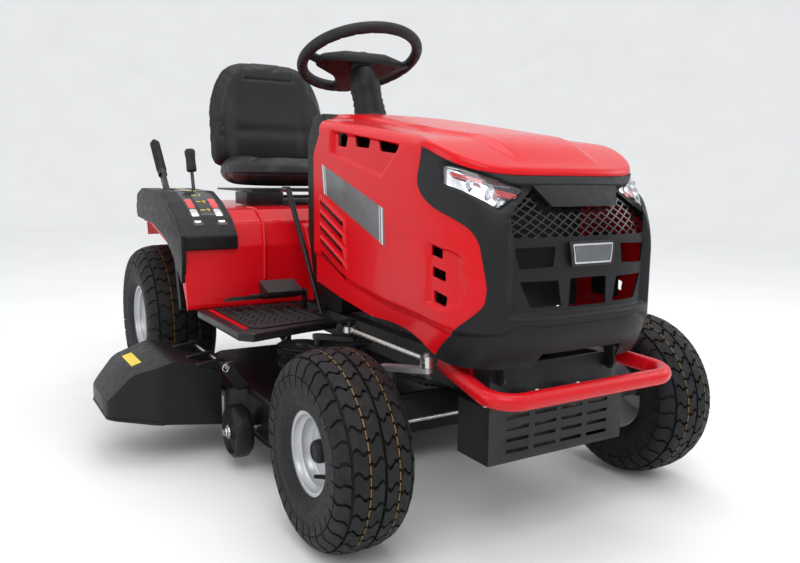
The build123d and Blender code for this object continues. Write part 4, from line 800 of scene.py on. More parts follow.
bezel = hood_shell_piece("front_moulding", grille_relief, PLASTIC, wall_steps=420, rise_steps=130, proud=2.5,
                         thick=4.0, top=False)
bezel_region = edge_outline(3.0) + [(-1700, 330), (-1700, 820), (-1289, 820)]
keep_front = cutter(bezel_region, "X", -400, 400)
cut(bezel, keep_front, how="INTERSECT")
for side in (-1, 1):
    def mirrored(outline):
        return [(side * x, z) for x, z in outline]
    cut(bezel, cutter(corners(mirrored([(-162, 580), (-81, 583), (-86, 546), (-153, 543)]), 4.0), "Y", -1600,
                      -1380))
    cut(bezel, cutter(corners(mirrored([(-152, 521), (-73, 521), (-64, 473), (-130, 474)]), 4.0), "Y", -1600,
                      -1380))
    cut(bezel, cutter(mirrored([(x * 0.99 - 2, 686 + (z - 686) * 0.86) for x, z in LAMP]), "Y", -1600, -1240))
cut(bezel, cutter(corners([(-45, 523), (45, 523), (47, 471), (-47, 471)], 4.0), "Y", -1600, -1380))
cut(bezel, cutter(corners([(-104, 682), (104, 682), (168, 636), (163, 598), (-163, 598), (-168, 636)], 7.0),
                  "Y", -1600, -1380))
cut(bezel, cutter(corners([(-118, 330), (-100, 387), (100, 387), (118, 330)], 6.0), "Y", -1600, -1380))
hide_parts("grille_bezel")
bezel.data.materials.clear()
bezel.data.materials.append(PLASTIC)


def front_patch(name, outline, level, thick, material, slot, radius=4.0, steps=26, bulge=0.0):
    """A patch that follows the nose's curve behind or in front of it by a level."""
    shape = corners(outline, radius) if radius else outline
    xs, zs = [p[0] for p in shape], [p[1] for p in shape]
    patch = prism(name, shape, "Y", -1700, -1200, material, "hood", slot=slot)
    rows = []
    low_x, high_x = min(xs) - 4, max(xs) + 4
    low_z, high_z = min(zs) - 4, max(zs) + 4
    for i in range(steps + 1):
        x = low_x + (high_x - low_x) * i / steps
        row = []
        for j in range(steps + 1):
            z = low_z + (high_z - low_z) * j / steps
            y = nose_at(x, z)
            puff = bulge * math.sin(math.pi * i / steps) * math.sin(math.pi * j / steps)
            row.append((x, y + level - puff, z))
        rows.append(row)
    back = [[(x, y + thick, z) for x, y, z in row] for row in rows]
    front_points, front_faces = grid(rows)
    back_points, back_faces = grid(back)
    count = len(front_points)
    faces = front_faces + [tuple(count + v for v in reversed(f)) for f in back_faces]
    n = steps + 1
    for k in range(steps):
        faces.append((k, k + 1, count + k + 1, count + k))
        last = steps * n
        faces.append((last + k, count + last + k, count + last + k + 1, last + k + 1))
        faces.append((k * n, count + k * n, count + (k + 1) * n, (k + 1) * n))
        faces.append((k * n + steps, (k + 1) * n + steps, count + (k + 1) * n + steps, count + k * n + steps))
    slab = mesh_piece("scratch_slab", front_points + back_points, faces, material, None)
    return cut(patch, slab, how="INTERSECT")


front_patch("badge_plate", [(-57, 591), (57, 591), (51, 545), (-51, 545)], 1.0, 5.0, GLOSS_BLACK,
            "black_plastic", 5.0)
front_patch("badge_border", [(-50, 586), (50, 586), (45, 550), (-45, 550)], 0.0, 3.0, CHROME, "bright_steel",
            3.0)
front_patch("badge_face", [(-47, 583), (47, 583), (42, 553), (-42, 553)], -0.8, 2.0, GREY_DECAL,
            "black_plastic", 2.0)
front_patch("visor", [(-108, 694), (108, 694), (80, 652), (-80, 652)], 1.0, 9.0, PLASTIC, "black_plastic",
            6.0,
            bulge=3.0)

# diamond mesh behind the upper window
mesh_points, mesh_faces = [], []


def mesh_strip(x0, z0, x1, z1, width=1.3, level=17.0, thick=2.6):
    """One bar of the diamond mesh, bent round the nose."""
    steps = 7
    direction = Vector((x1 - x0, z1 - z0)).normalized()
    side = Vector((-direction.y, direction.x)) * width
    base = len(mesh_points)
    for k in range(steps + 1):
        t = k / steps
        cx, cz = x0 + (x1 - x0) * t, z0 + (z1 - z0) * t
        for way, back in ((-1, 0), (1, 0), (1, thick), (-1, thick)):
            x, z = cx + side.x * way, cz + side.y * way
            y = nose_at(x, z) + level + back
            mesh_points.append((x, y, z))
    for k in range(steps):
        a = base + 4 * k
        for j in range(4):
            mesh_faces.append((a + j, a + (j + 1) % 4, a + 4 + (j + 1) % 4, a + 4 + j))


for k in range(-14, 15):
    middle = k * 25.0
    for slope in (-0.62, 0.62):
        low_z, high_z = 590.0, 690.0
        x0, x1 = middle - (high_z - low_z) / slope / 2, middle + (high_z - low_z) / slope / 2
        spans = []
        for step in range(41):
            t = step / 40
            x, z = x0 + (x1 - x0) * t, low_z + (high_z - low_z) * t
            if abs(x) < 170 and abs(x) < 167 + (636 - z) * 1.3:
                spans.append((x, z))
        if len(spans) > 2:
            mesh_strip(*spans[0], *spans[-1])
mesh_piece("grille_diamonds", mesh_points, mesh_faces, GLOSS_BLACK, "hood", slot="black_plastic",
           stands_for=("grille_mesh",))

# inner baffle behind the grille
baffle = prism("grille_baffle", corners([(-204, -1300), (120, -1336), (120, -1330), (-204, -1294)], 2.0), "Z",
               440, 690,
               BLACK_PAINT, "hood", slot="black_plastic")
soften(baffle, 1.5, 2)

# dark liners behind the front vents
for side, word in ((-1, "right"), (1, "left")):
    liner = prism(f"vent_liner_{word}", corners([(-1300, 590), (-1372, 590), (-1376, 455), (-1300, 455)],
                                                4.0), "X",
                  *sorted((side * 196, side * 200)), BLACK_PAINT, "hood", slot="black_plastic")
    soften(liner, 1.0, 2)

# striped side decals
for side, word in ((-1, "right"), (1, "left")):
    for index, (start, stop, lift, material) in enumerate((
        (0.0, 1.0, 0.5, GREY_DECAL), (0.022, 0.040, 0.9, WHITE_MARK), (0.060, 0.068, 0.9, WHITE_MARK),
        (0.932, 0.940, 0.9, WHITE_MARK), (0.960, 0.978, 0.9, WHITE_MARK),
    )):
        rows = []
        for k in range(25):
            u = start + (stop - start) * k / 24
            (y_high, z_high), (y_low, z_low) = (-817 - 322 * u, 729 - 94 * u), (-829 - 314 * u, 660 - 102 * u)
            x_high, x_low = side_half(y_high), side_half(y_low)
            rows.append([(side * (x_high + lift), y_high, z_high), (side * (x_low + lift), y_low, z_low),
                         (side * (x_low - 1.0), y_low, z_low), (side * (x_high - 1.0), y_high, z_high)])
        points, faces = grid(rows, closed_across=True)
        faces += [(0, 1, 2, 3), tuple(len(points) - 4 + k for k in (3, 2, 1, 0))]
        mesh_piece(f"side_decal_{word}_{index}", points, faces, material, "hood", slot="red_panel")

# lamps: bright pocket, red light bars, reflector cups and clear lens
for side, word in ((-1, "right"), (1, "left")):
    def swap(outline):
        return [(-side * x, z) for x, z in outline]
    shape = [(x * 0.985 - 3, 686 + (z - 686) * 0.84) for x, z in LAMP]
    pocket = front_patch(f"lamp_pocket_{word}", swap(shape), 26.0, 5.0, REFLECTOR, "lens", 0.0)
    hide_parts("headlights")
    front_patch(f"lamp_lens_{word}", swap(shape), 5.0, 2.5, LENS, "lens", 0.0)
    for index, bar in enumerate((
        [(-223, 712), (-187, 697), (-187, 690), (-223, 704)],
        [(-171, 681), (-135, 672), (-145, 662), (-175, 671)],
    )):
        front_patch(f"lamp_bar_{word}_{index}", swap(bar), 13.0, 4.0, RED_LAMP, "lens", 1.5)
    for index, spot in enumerate(((-207, 690), (-184, 676), (-171, 659))):
        y = nose_at(*spot)
        lathe(f"lamp_cup_{word}_{index}", [(0, 8.5), (1.5, 9), (9, 4), (12, 0.05)],
              (-side * spot[0], y + 10, spot[1]),
              REFLECTOR, "hood", axis="Y", steps=32, slot="lens")


# ---------------------------------------------------------- console and wheel
console = prism(
    "console_form",
    corners([(-800, 352), (-650, 352), (-600, 560), (-600, 790), (-634, 852), (-696, 858), (-722, 828),
             (-800, 800)], 14.0),
    "X", -165, 165, PLASTIC, "chassis", slot="black_plastic", stands_for=("steering_console",),
)
soften(console, 16.0, 4)
cut(console, box_cutter((-99, -612, 666), (-91, -590, 734)))
panel = prism("console_panel", corners([(-140, 640), (140, 640), (150, 800), (-150, 800)], 18.0), "Y", -603,
              -599.2,
              GLOSS_BLACK, "chassis", slot="black_plastic")
cut(panel, box_cutter((-99, -612, 666), (-91, -590, 734)))
cut(panel, cutter(corners([(97, 692), (113, 692), (113, 708), (97, 708)], 5.0), "Y", -610, -590))
lathe("key_ring", [(-1, 9), (3.5, 9), (4, 8), (4, 4.6), (-1, 4.6), (-1, 9)], (105, -599.5, 700), CHROME,
      "chassis",
      axis="Y", steps=40, slot="bright_steel")

TILT = math.radians(22.0)
WHEEL_CENTRE = Vector((0, -586, 1020))
WHEEL_UP = Vector((0, math.sin(TILT), math.cos(TILT)))
WHEEL_BACK = Vector((0, math.cos(TILT), -math.sin(TILT)))


def on_wheel(x, y, z):
    """Point in the steering wheel's own frame: x across, y towards the driver, z up the column."""
    p = WHEEL_CENTRE + Vector((x, 0, 0)) + WHEEL_BACK * y + WHEEL_UP * z
    return tuple(p)


def turned(name, profile, material, body, steps=64, **extra):
    """A round form about the column's axis from (height, radius) points."""
    rows = []
    for step in range(steps):
        turn = 2 * math.pi * step / steps
        rows.append([on_wheel(r * math.cos(turn), r * math.sin(turn), z) for z, r in profile])
    points, faces = grid(rows, closed_along=True)
    return mesh_piece(name, points, faces, material, body, **extra)


turned("column_gaiter", [(-206, 0.1), (-206, 52), (-196, 54), (-190, 48)] + [
    (-188 + 9 * k + (4 if k % 2 else 0), 44.5 - 0.5 * k - (3.0 if k % 2 else 0.0)) for k in range(9)
] + [(-100, 40), (-96, 42), (-60, 38), (-40, 34), (-38, 12), (-38, 0.1)], PLASTIC, "chassis",
slot="black_plastic", sharp=50.0)

rim_rows = []
for step in range(144):
    turn = 2 * math.pi * step / 144
    grip = 1.0 if min(abs(math.sin(turn)), 1) < 0.55 else 0.0
    ring = []
    for k in range(20):
        a = 2 * math.pi * k / 20
        dent = 0.0
        if k in (13, 14, 15, 16, 17) and step % 6 == 0:
            dent = 1.3
        radius = 14.6 - dent
        ring.append(on_wheel((160 + radius * math.cos(a)) * math.cos(turn),
                             (160 + radius * math.cos(a)) * math.sin(turn),
                             radius * math.sin(a) * 1.05 - 0.3))
    rim_rows.append(ring)
wheel_points, wheel_faces = grid(rim_rows, closed_across=True, closed_along=True)
mesh_piece("steering_rim", wheel_points, wheel_faces, SOFT_RUBBER, "steering_wheel", slot="rubber",
           stands_for=("steering_wheel",))
hub_outline = corners([(-128, -14, 6), (-70, -40), (70, -40), (128, -14, 6), (128, 22, 6), (72, 44), (30, 92),
                       (22, 148, 4),
                       (-22, 148, 4), (-30, 92), (-72, 44), (-128, 22, 6)], 20.0, 5)
hub_points, hub_faces = [], []
for level, scale in ((-26.0, 0.97), (-20.0, 1.0), (-12.0, 1.0), (-4.0, 0.94), (2.0, 0.80), (4.0, 0.6)):
    for u, v in hub_outline:
        far = math.hypot(u, v)
        drop = -10.0 * math.exp(-((far / 95.0) ** 2)) if level < -10 else 0.0
        k = 1.0 - (1.0 - scale) * min(1.0, 60.0 / far)
        hub_points.append(on_wheel(u * k, v * k, level * (1.0 if far < 120 else 0.7) + drop - 2.0))
n_hub = len(hub_outline)
for ring in range(5):
    for k in range(n_hub):
        a, b = ring * n_hub + k, ring * n_hub + (k + 1) % n_hub
        hub_faces.append((a, b, b + n_hub, a + n_hub))
hub_faces.append(tuple(range(n_hub)))
hub_faces.append(tuple(range(6 * n_hub - 1, 5 * n_hub - 1, -1)))
hub = mesh_piece("steering_hub", hub_points, hub_faces, PLASTIC, "steering_wheel", slot="black_plastic",
                 sharp=30.0)
for sx in (-1, 1):
    tube(f"steering_spoke_{'right' if sx < 0 else 'left'}",
         [on_wheel(sx * 100, 4, -14), on_wheel(sx * 128, 4, -10), on_wheel(sx * 152, 2, -2)],
         lambda t: 13.0 - 2.0 * t, PLASTIC, "steering_wheel", sides=16, slot="black_plastic")
tube("steering_spoke_rear", [on_wheel(0, 110, -14), on_wheel(0, 132, -10), on_wheel(0, 152, -2)],
     lambda t: 14.0 - 2.0 * t, PLASTIC, "steering_wheel", sides=16, slot="black_plastic")
turned("steering_cap", [(-2, 30), (3, 31), (6, 28), (7, 20), (7, 0.05)], GLOSS_BLACK, "steering_wheel",
       slot="black_plastic")
turned("steering_boss", [(-34, 0.1), (-34, 28), (-20, 34), (-8, 36), (-8, 0.1)], PLASTIC, "steering_wheel",
       slot="black_plastic")
tube("steering_shaft", [on_wheel(0, 0, -210), on_wheel(0, 0, -34)], 9.9, STEEL, "steering_wheel", sides=24,
     slot="bright_steel")

# --------------------------------------------------------------- fender body
FENDER = [(-573, 352), (-573, 365), (-548, 510), (-510, 574, 34), (-446, 604, 60), (262, 604, 60),
          (318, 562, 50),
          (330, 470), (330, 352)]
fender = prism("fender_form", corners(FENDER, 20.0, 6), "X", -490, 490, RED, "chassis", slot="red_panel",
               stands_for=("fender_body",))
fender_plan = corners([(-490, -700), (490, -700), (490, -110, 160), (378, 340), (-378, 340),
                       (-490, -110, 160)], 20.0, 8)
cut(fender, cutter(fender_plan, "Z", 300, 700), how="INTERSECT")
soften(fender, 22.0, 5, angle=50.0)
hollow = [(-567, 300), (-567, 366), (-542, 508), (-505, 569, 30), (-444, 598, 56), (260, 598, 56),
          (312, 558, 46),
          (325, 470), (325, 300)]
cut(fender, cutter(corners(hollow, 18.0, 5), "X", -278, 278))
ARCH = [(-574, 330, 0), (-561, 370), (-523, 434), (-398, 508), (-191, 556, 160), (60, 560, 120),
        (240, 540, 90), (345, 468, 0),
        (420, 300, 0), (-600, 300, 0)]
for side in (-1, 1):
    near, far = sorted((side * 283, side * 560))
    cut(fender, cutter(corners(ARCH, 50.0, 6), "X", near, far))
cut(fender, box_cutter((-452, -318, 570), (-366, -96, 640)))
for side in (-1, 1):
    # a raised moulding line up the front face and over the shoulder of each fender
    ridge_path = smooth_path([(side * 276, -562, 420), (side * 270, -549, 512), (side * 262, -512, 572),
                              (side * 258, -452, 601), (side * 256, -380, 604)], 6)
    tube(f"fender_ridge_{'right' if side < 0 else 'left'}", ridge_path, 5.0, RED, "chassis", slot="red_panel")

# tunnel cover in front of the seat deck
tunnel = prism("tunnel_cover", corners([(-598, 352), (-598, 420), (-577, 500), (-545, 560, 40), (-500, 570),
                                        (-500, 352)], 16.0),
               "X", -150, 150, RED, "chassis", slot="red_panel")
soften(tunnel, 14.0, 4)

# lever console
flange = prism("lever_cover_flange", corners([(-562, 545), (-566, 480), (-555, 420, 2), (-532, 442, 20),
                                              (-470, 492, 80),
                                              (-398, 526, 80), (-250, 560, 80), (-60, 576, 4), (-60, 610, 4),
                                              (-430, 604)], 8.0, 5),
               "X", -499, -488, PLASTIC, "chassis", slot="black_plastic")
soften(flange, 3.0, 3)
COVER_TOP = ((-560, 540), (-512, 586), (-440, 624), (-360, 652), (-130, 656), (-60, 636))
cover_outline = [(-560, 506, 4), (-560, 540, 14), (-512, 586, 30), (-440, 624, 60), (-360, 652, 60),
                 (-130, 656, 60),
                 (-60, 636, 20), (-60, 566, 10), (-430, 548, 30), (-520, 500, 4)]
cover = prism("lever_cover", corners(cover_outline, 12.0, 6), "X", -498, -348, PLASTIC, "chassis",
              slot="black_plastic",
              stands_for=("lever_console",))
soften(cover, 14.0, 4)
body_block = corners([(-580, 300), (-569, 365), (-544, 510), (-506, 572, 34), (-445, 603, 60), (262, 603, 60),
                      (300, 300)], 18.0, 5)
cut(cover, cutter(body_block, "X", -486, -300))
for x, half, low_y, high_y in ((-440, 9.5, -322, -94), (-380, 8.5, -326, -208)):
    slot_shape = corners([(x - half, low_y), (x + half, low_y), (x + half, high_y), (x - half, high_y)], 7.0)
    cut(cover, cutter(slot_shape, "Z", 560, 720))


def on_cover(name, outline, lift, thick, material, slot, **extra):
    """A thin inlay that follows the cover's top between two lines of points."""
    low_y, high_y = min(p[1] for p in outline), max(p[1] for p in outline)
    shape = prism(name, outline, "Z", 400, 900, material, "chassis", slot=slot, **extra)
    rows = []
    for i in range(31):
        y = low_y - 5 + (high_y - low_y + 10) * i / 30
        z = smooth_table(COVER_TOP, y, 22.0) + lift + 0.4
        rows.append([(-560, y, z), (-300, y, z), (-300, y, z - thick), (-560, y, z - thick)])
    points, faces = grid(rows, closed_across=True)
    faces += [(0, 1, 2, 3), tuple(len(points) - 4 + k for k in (3, 2, 1, 0))]
    return cut(shape, mesh_piece("scratch_band", points, faces, material, None), how="INTERSECT")


on_cover("quadrant_plate", corners([(-426, -505), (-392, -505), (-392, -112), (-426, -112)], 8.0), 0.5, 2.0,
         GLOSS_BLACK, "black_plastic")
for index in range(9):
    y = -480 + 42 * index
    on_cover(f"quadrant_mark_{index}", [(-423, y), (-409, y), (-409, y + 3.0), (-423, y + 3.0)], 0.9, 1.0,
             YELLOW, "lens")
    text = bpy.data.curves.new(f"quadrant_digit_{index}", "FONT")
    text.body = str(9 - index)
    text.size = 19 * MM
    text.extrude = 0.3 * MM
    text.align_x = "CENTER"
    digit = bpy.data.objects.new(f"quadrant_digit_{index}", text)
    bpy.context.scene.collection.objects.link(digit)
    height, ahead_height = smooth_table(COVER_TOP, y - 5, 22.0), smooth_table(COVER_TOP, y + 5, 22.0)
    digit.location = (-401 * MM, (y - 5) * MM, (height + 1.3) * MM)
    digit.rotation_euler = (math.atan2(ahead_height - height, 10.0), 0, 0)
    text.materials.append(YELLOW)
    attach(digit, "chassis")
for word, x, rear in (("lift", -443, -326), ("blade", -379, -330)):
    for part, half, low_y, high_y, lift, material, slot in (
        ("edge", 13.5, -532, rear, 0.5, GLOSS_BLACK, "black_plastic"),
        ("tip", 9.0, -525, -474, 1.0, STEEL, "bright_steel"),
        ("band", 9.0, -470, -420, 0.9, RED_LAMP, "lens"),
    ):
        shape = corners([(x - half, low_y), (x + half, low_y), (x + half, high_y), (x - half, high_y)], 6.0)
        on_cover(f"{word}_inlay_{part}", shape, lift, 1.0, material, slot)

# -------------------------------------------------------------------- footrests
for side, word in ((-1, "right"), (1, "left")):
    outline = [(side * x, y) for x, y in ((212, -877), (302, -891), (444, -931), (470, -901), (470, -582),
                                          (212, -582))]
    rest = prism(f"footrest_form_{word}", corners(outline, 12.0), "Z", 335, 355, BLACK_PAINT, "chassis",
                 slot="black_paint")
    soften(rest, 5.0, 3)
    floor_hole = [(side * x, y) for x, y in ((218, -870), (302, -884), (440, -921), (463, -899), (463, -589),
                                             (218, -589))]
    cut(rest, cutter(floor_hole, "Z", 320, 349))
    if side < 0:
        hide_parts("footrests")
    for y in (-871, -707):
        bracket = prism(f"footrest_bracket_{word}_{-y}",
                        [(y, 345), (y + 22, 345), (y + 22, 349), (y + 5, 349), (y + 5, 351),
                                                         (y, 351)], "X", *sorted((side * 160, side * 252)),
                        BLACK_PAINT, "chassis", slot="black_paint")
    mat_outline = [(side * x, y) for x, y in ((236, -855), (410, -889), (432, -871), (432, -606),
                                              (236, -606))]
    mat = prism(f"mat_base_{word}", corners(mat_outline, 8.0), "Z", 355, 358.2, SOFT_RUBBER, "chassis",
                slot="rubber")
    if side < 0:
        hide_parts("footrest_mats")
    strip = [(side * x, y) for x, y in ((436, -872), (447, -884), (447, -604), (436, -604))]
    prism(f"mat_strip_{word}", strip, "Z", 355, 356.6, RED, "chassis", slot="red_panel")
    points, faces = [], []
    for i in range(12):
        for j in range(16):
            cx = 248 + 15.6 * i + (0 if j % 2 else 7.8)
            cy = -846 + 15.2 * j
            if cx > 424 or cy < -846 or cy > -612 or cy < -852 - (cx - 236) * 0.19 + 12:
                continue
            base = len(points)
            turn = math.radians(45 if (i + j) % 2 else -45)
            for level, grow in ((358.1, 1.0), (360.6, 0.62)):
                for u, v in ((-7, 0), (0, -2.6), (7, 0), (0, 2.6)):
                    u, v = u * grow, v * grow
                    points.append((side * (cx + u * math.cos(turn) - v * math.sin(turn)),
                                   cy + u * math.sin(turn) + v * math.cos(turn), level))
            faces += [(base + k, base + (k + 1) % 4, base + 4 + (k + 1) % 4, base + 4 + k) for k in range(4)]
            faces.append((base + 4, base + 5, base + 6, base + 7))
    mesh_piece(f"mat_treads_{word}", points, faces, SOFT_RUBBER, "chassis", slot="rubber")

# ------------------------------------------------------------------------- deck
DECK = [(-440, -430), (-440, -700), (-395, -742), (-395, -915), (-330, -975), (430, -985), (530, -915),
        (530, -560),
        (380, -430), (150, -320), (-330, -310)]
deck = prism("deck_form", corners(DECK, 30.0, 6), "Z", 72, 178, BLACK_PAINT, "deck", slot="black_paint",
             stands_for=("deck_shell",))
soften(deck, 15.0, 5, angle=50.0)
centre = Vector((45.0, -650.0))
inner = [tuple(Vector(p) + (centre - Vector(p)).normalized() * 7.0) for p in corners(DECK, 26.0, 6)]
cut(deck, cutter(inner, "Z", 40, 172))
cut(deck, box_cutter((-470, -695, 40), (-415, -470, 150)))
for x, y in ((-180, -580), (280, -715)):
    cut(deck,
        cutter([(x + 30 * math.cos(a),
                 y + 30 * math.sin(a)) for a in (2 * math.pi * k / 24 for k in range(24))],
                     "Z", 160, 190))
lip_path = [Vector((x, y, 74)) for x, y in corners(DECK, 30.0, 6)]
lip_path = [p for p in lip_path if not (p.x < -430 and -700 < p.y < -468)]
first = max(range(len(lip_path)), key=lambda k: (lip_path[k] - lip_path[k - 1]).length)
lip_path = lip_path[first:] + lip_path[:first]
tube("deck_lip", lip_path, 3.6, BLACK_PAINT, "deck", sides=10, slot="black_paint")
for side in (-1, 1):
    for y, word in ((-980, "front"), (-480, "rear")):
        face = side * 185
        bracket = prism(
            f"deck_hanger_{word}_{'right' if side < 0 else 'left'}",
            corners([(y - 22, 176), (y + 22, 176), (y + 14, 251, 12), (y - 14, 251, 12)], 3.0),
            "X", *sorted((face, face + side * 6)), STEEL, "deck", slot="black_paint",
        )
        hole = [(y + 10.2 * math.cos(a),
                 235 + 10.2 * math.sin(a)) for a in (2 * math.pi * k / 20 for k in range(20))]
        cut(bracket, cutter(hole, "X", *sorted((face - side * 5, face + side * 12))))
for y in (-452, -722):
    prism(f"deck_lug_{-y}", corners([(-418, 175), (-380, 175), (-434, 247), (-454, 247), (-454, 228)], 3.0),
          "Y", y - 6, y,
          BLACK_PAINT, "deck", slot="black_paint")
tube("deflector_rod", [(-446, -440, 238), (-446, -746, 238)], 4.9, STEEL, "deck", sides=16,
     slot="bright_steel")
tube("deflector_rod_clip", smooth_path([(-446, -743, 246), (-440, -744, 236), (-448, -745, 226),
                                        (-456, -744, 234),
                                        (-448, -743, 246), (-430, -742, 250)], 6), 1.1, STEEL, "deck",
                                        sides=8,
     slot="bright_steel")
tube("gauge_bolt_right", [(-476, -800, 94), (-392, -800, 94)], 7.9, STEEL, "deck", sides=20,
     slot="bright_steel")
bolt("gauge_nut_right", (-463, -800, 94), (-1, 0, 0), "deck", size=11, height=7)
tube("gauge_bolt_left", [(526, -850, 94), (598, -850, 94)], 7.9, STEEL, "deck", sides=20, slot="bright_steel")
bolt("gauge_nut_left", (585, -850, 94), (1, 0, 0), "deck", size=11, height=7)
for side, x, y in (("right", -440.0, -800.0), ("left", 562.0, -850.0)):
    lathe(f"gauge_roller_{side}", [(-20, 8.2), (-20, 20), (-14, 24), (-14, 48), (-21.6, 52), (-21.6, 55),
                                   (-15, 62),
                                  (-8, 63.4), (8, 63.4), (15, 62), (21.6, 55), (21.6, 52), (14, 48), (14, 24),
                                  (20, 20),
                                  (20, 8.2), (-20, 8.2)],
          (x, y, 94), PLASTIC, f"gauge_wheel_{side}", steps=64, slot="black_plastic",
          stands_for=(f"gauge_wheel_{side}",))

# -------------------------------------------------------------------- deflector
chute = prism("deflector_form", corners([(-450, 222, 4), (-560, 256, 60), (-652, 226, 60), (-707, 158, 20),
                                         (-707, 116, 3),
                                         (-458, 86, 2), (-450, 86, 2)], 4.0, 8), "Y", -715, -405, PLASTIC,
                                         "deflector",
              slot="black_plastic", stands_for=("deflector",))
plan = corners([(-440, -406), (-712, -441, 30), (-712, -639, 60), (-600, -699, 60), (-440, -714)], 2.0, 8)
cut(chute, cutter(plan, "Z", 20, 320), how="INTERSECT")
soften(chute, 9.0, 4, angle=40.0)
hollow_side = corners([(-430, 216, 0), (-560, 250, 56), (-648, 221, 56), (-702, 156, 18), (-702, 60, 0),
                       (-430, 60, 0)], 4.0, 8)
hollow_cut = cutter(hollow_side, "Y", -709, -411)
hollow_plan = corners([(-430, -412), (-706, -446, 26), (-706, -636, 54), (-599, -692, 54), (-430, -708)], 2.0,
                      8)
cut(hollow_cut, cutter(hollow_plan, "Z", 0, 340), how="INTERSECT")
cut(chute, hollow_cut)
rim_line = []
for x, y in plan:
    if x < -452:
        z = along(((-707, 116), (-458, 86)), x)
        rim_line.append((min(max(x, -706), -452), min(max(y, -712), -408), z + 2))
tube("deflector_bead", rim_line, 3.4, PLASTIC, "deflector", sides=10, slot="black_plastic")
for y in (-470, -600, -690):
    knuckle = prism(f"deflector_knuckle_{-y}", corners([(-452, 249), (-440, 249), (-435, 243), (-435, 233),
                                                        (-442, 227),
                                                        (-506, 232), (-506, 241)], 4.0), "Y", y - 16, y,
                                                        PLASTIC,
                    "deflector", slot="black_plastic")
    hole = [(-446 + 5.4 * math.cos(a),
             238 + 5.4 * math.sin(a)) for a in (2 * math.pi * k / 20 for k in range(20))]
    cut(knuckle, cutter(hole, "Y", y - 20, y + 4))


def on_chute(name, low, high, material, lift=0.6):
    """A thin label that follows the deflector's top."""
    rows = []
    for i in range(11):
        x = low[0] + (high[0] - low[0]) * i / 10
        z = smooth_table(((-707, 158), (-652, 226), (-560, 252), (-450, 222)), x, 20.0) + lift
        rows.append([(x, low[1], z), (x, high[1], z), (x, high[1], z - 1.5), (x, low[1], z - 1.5)])
    points, faces = grid(rows, closed_across=True)
    faces += [(0, 1, 2, 3), tuple(len(points) - 4 + k for k in (3, 2, 1, 0))]
    return mesh_piece(name, points, faces, material, "deflector", slot="black_plastic")


on_chute("chute_label", (-642, -600), (-572, -482), YELLOW, 1.6)

KNOB_SHARE = (math.hypot(52, 186) - 28) / math.hypot(52, 186)


def tilt_to(obj, place, direction):
    """Turn a piece made round +Z to point along a direction, and move it to its place."""
    turn = Vector((0, 0, 1)).rotation_difference(Vector(direction)).to_matrix().to_4x4()
    obj.data.transform(Matrix.Translation(Vector(place) * MM) @ turn)


# ---------------------------------------------------------------------- finishes
paint(BLACK_PAINT, "front_axle", "frame_rails", "front_frame", "rear_hitch_plate", "muffler_guard",
      "front_lift_arms",
      "parking_lever", "lift_lever", "brake_pedal", "seat_slider", "seat_rails", "seat_pan", "drive_pedals",
      "pitman_arm")
paint(DARK_CAST, "engine_block", "transaxle", "spindle_housings")
paint(CAST, "spindle_right", "spindle_left")
paint(STEEL, "tie_rod", "drag_link", "frame_bolts", "crank_pulley")
paint(EXHAUST, "muffler")
paint(PLASTIC, "blower_housing", "battery", "lift_lever_button", "throttle_lever")
paint(TANK, "fuel_tank")
paint(SOFT_RUBBER, "deck_belt")
paint(BLADE_STEEL, "blade_right", "blade_left")
paint(RED_TUBE, "bumper")
paint(CHROME, "ignition_key")
paint(DARK_CAST, "pto_lever")

# black waisted knob on the blade lever, and the lift lever's ribbed grip
knob = lathe("blade_lever_knob", [(-33, 0.05), (-33, 13.2), (-29, 14.6), (-17, 14.2), (-8, 13.7), (8, 13.7),
                                  (16, 15.0),
                                  (27, 15.4), (32, 12.0), (33.5, 6.0), (34, 0.05)], (0, 0, 0), SOFT_RUBBER,
                                  "pto_lever",
             axis="Z", steps=40, slot="rubber")
tilt_to(knob, (-380, -290 + 52 * KNOB_SHARE, 580 + 186 * KNOB_SHARE), (0, 52, 186))
ribs = [(-112, 13.3)]
for index in range(18):
    ribs += [(-110 + 6 * index, 14.6), (-107.5 + 6 * index, 14.6), (-106.5 + 6 * index, 13.6),
             (-104.5 + 6 * index, 13.6)]
ribs += [(0, 14.6), (0.8, 13.0), (0.8, 9.0), (-1.0, 9.0), (-112, 13.05)]
grip = lathe("lift_lever_grip", ribs + [(-112, 13.3)], (0, 0, 0), SOFT_RUBBER, "lift_lever", axis="Z",
             steps=40, slot="rubber")
tilt_to(grip, (-440, -70, 790), (0, 187, 203))


# ------------------------------------------------------------------------- seat
def closed_pad(name, across, along_steps, skin, body, stands_for):
    """A closed cushion from a function that gives the front and back point for (u, v) in -1..1."""
    front, back = [], []
    for i in range(along_steps + 1):
        v = -1.0 + 2.0 * i / along_steps
        pairs = [skin(-1.0 + 2.0 * j / across, v) for j in range(across + 1)]
        front.append([p[0] for p in pairs])
        back.append([p[1] for p in pairs])
    points, faces = grid(front)
    more, back_faces = grid(back)
    count = len(points)
    faces += [tuple(count + k for k in reversed(f)) for f in back_faces]
    n = across + 1
    loop = list(range(n)) + [k * n + across for k in range(1, along_steps + 1)]
    loop += [along_steps * n + k for k in range(across - 1, -1,
                                                -1)] + [k * n for k in range(along_steps - 1, 0, -1)]
    for a, b in zip(loop, loop[1:] + loop[:1]):
        faces.append((a, count + a, count + b, b))
    return mesh_piece(name, points + more, faces, VINYL, body, slot="seat_vinyl", stands_for=stands_for)


def rounded_square(u, v, power):
    """Squeeze a square of (u, v) towards a square with round corners."""
    reach = max(abs(u), abs(v))
    if reach < 1e-6:
        return u, v
    length = (abs(u) ** power + abs(v) ** power) ** (1.0 / power)
    scale = reach / length
    return u * scale, v * scale


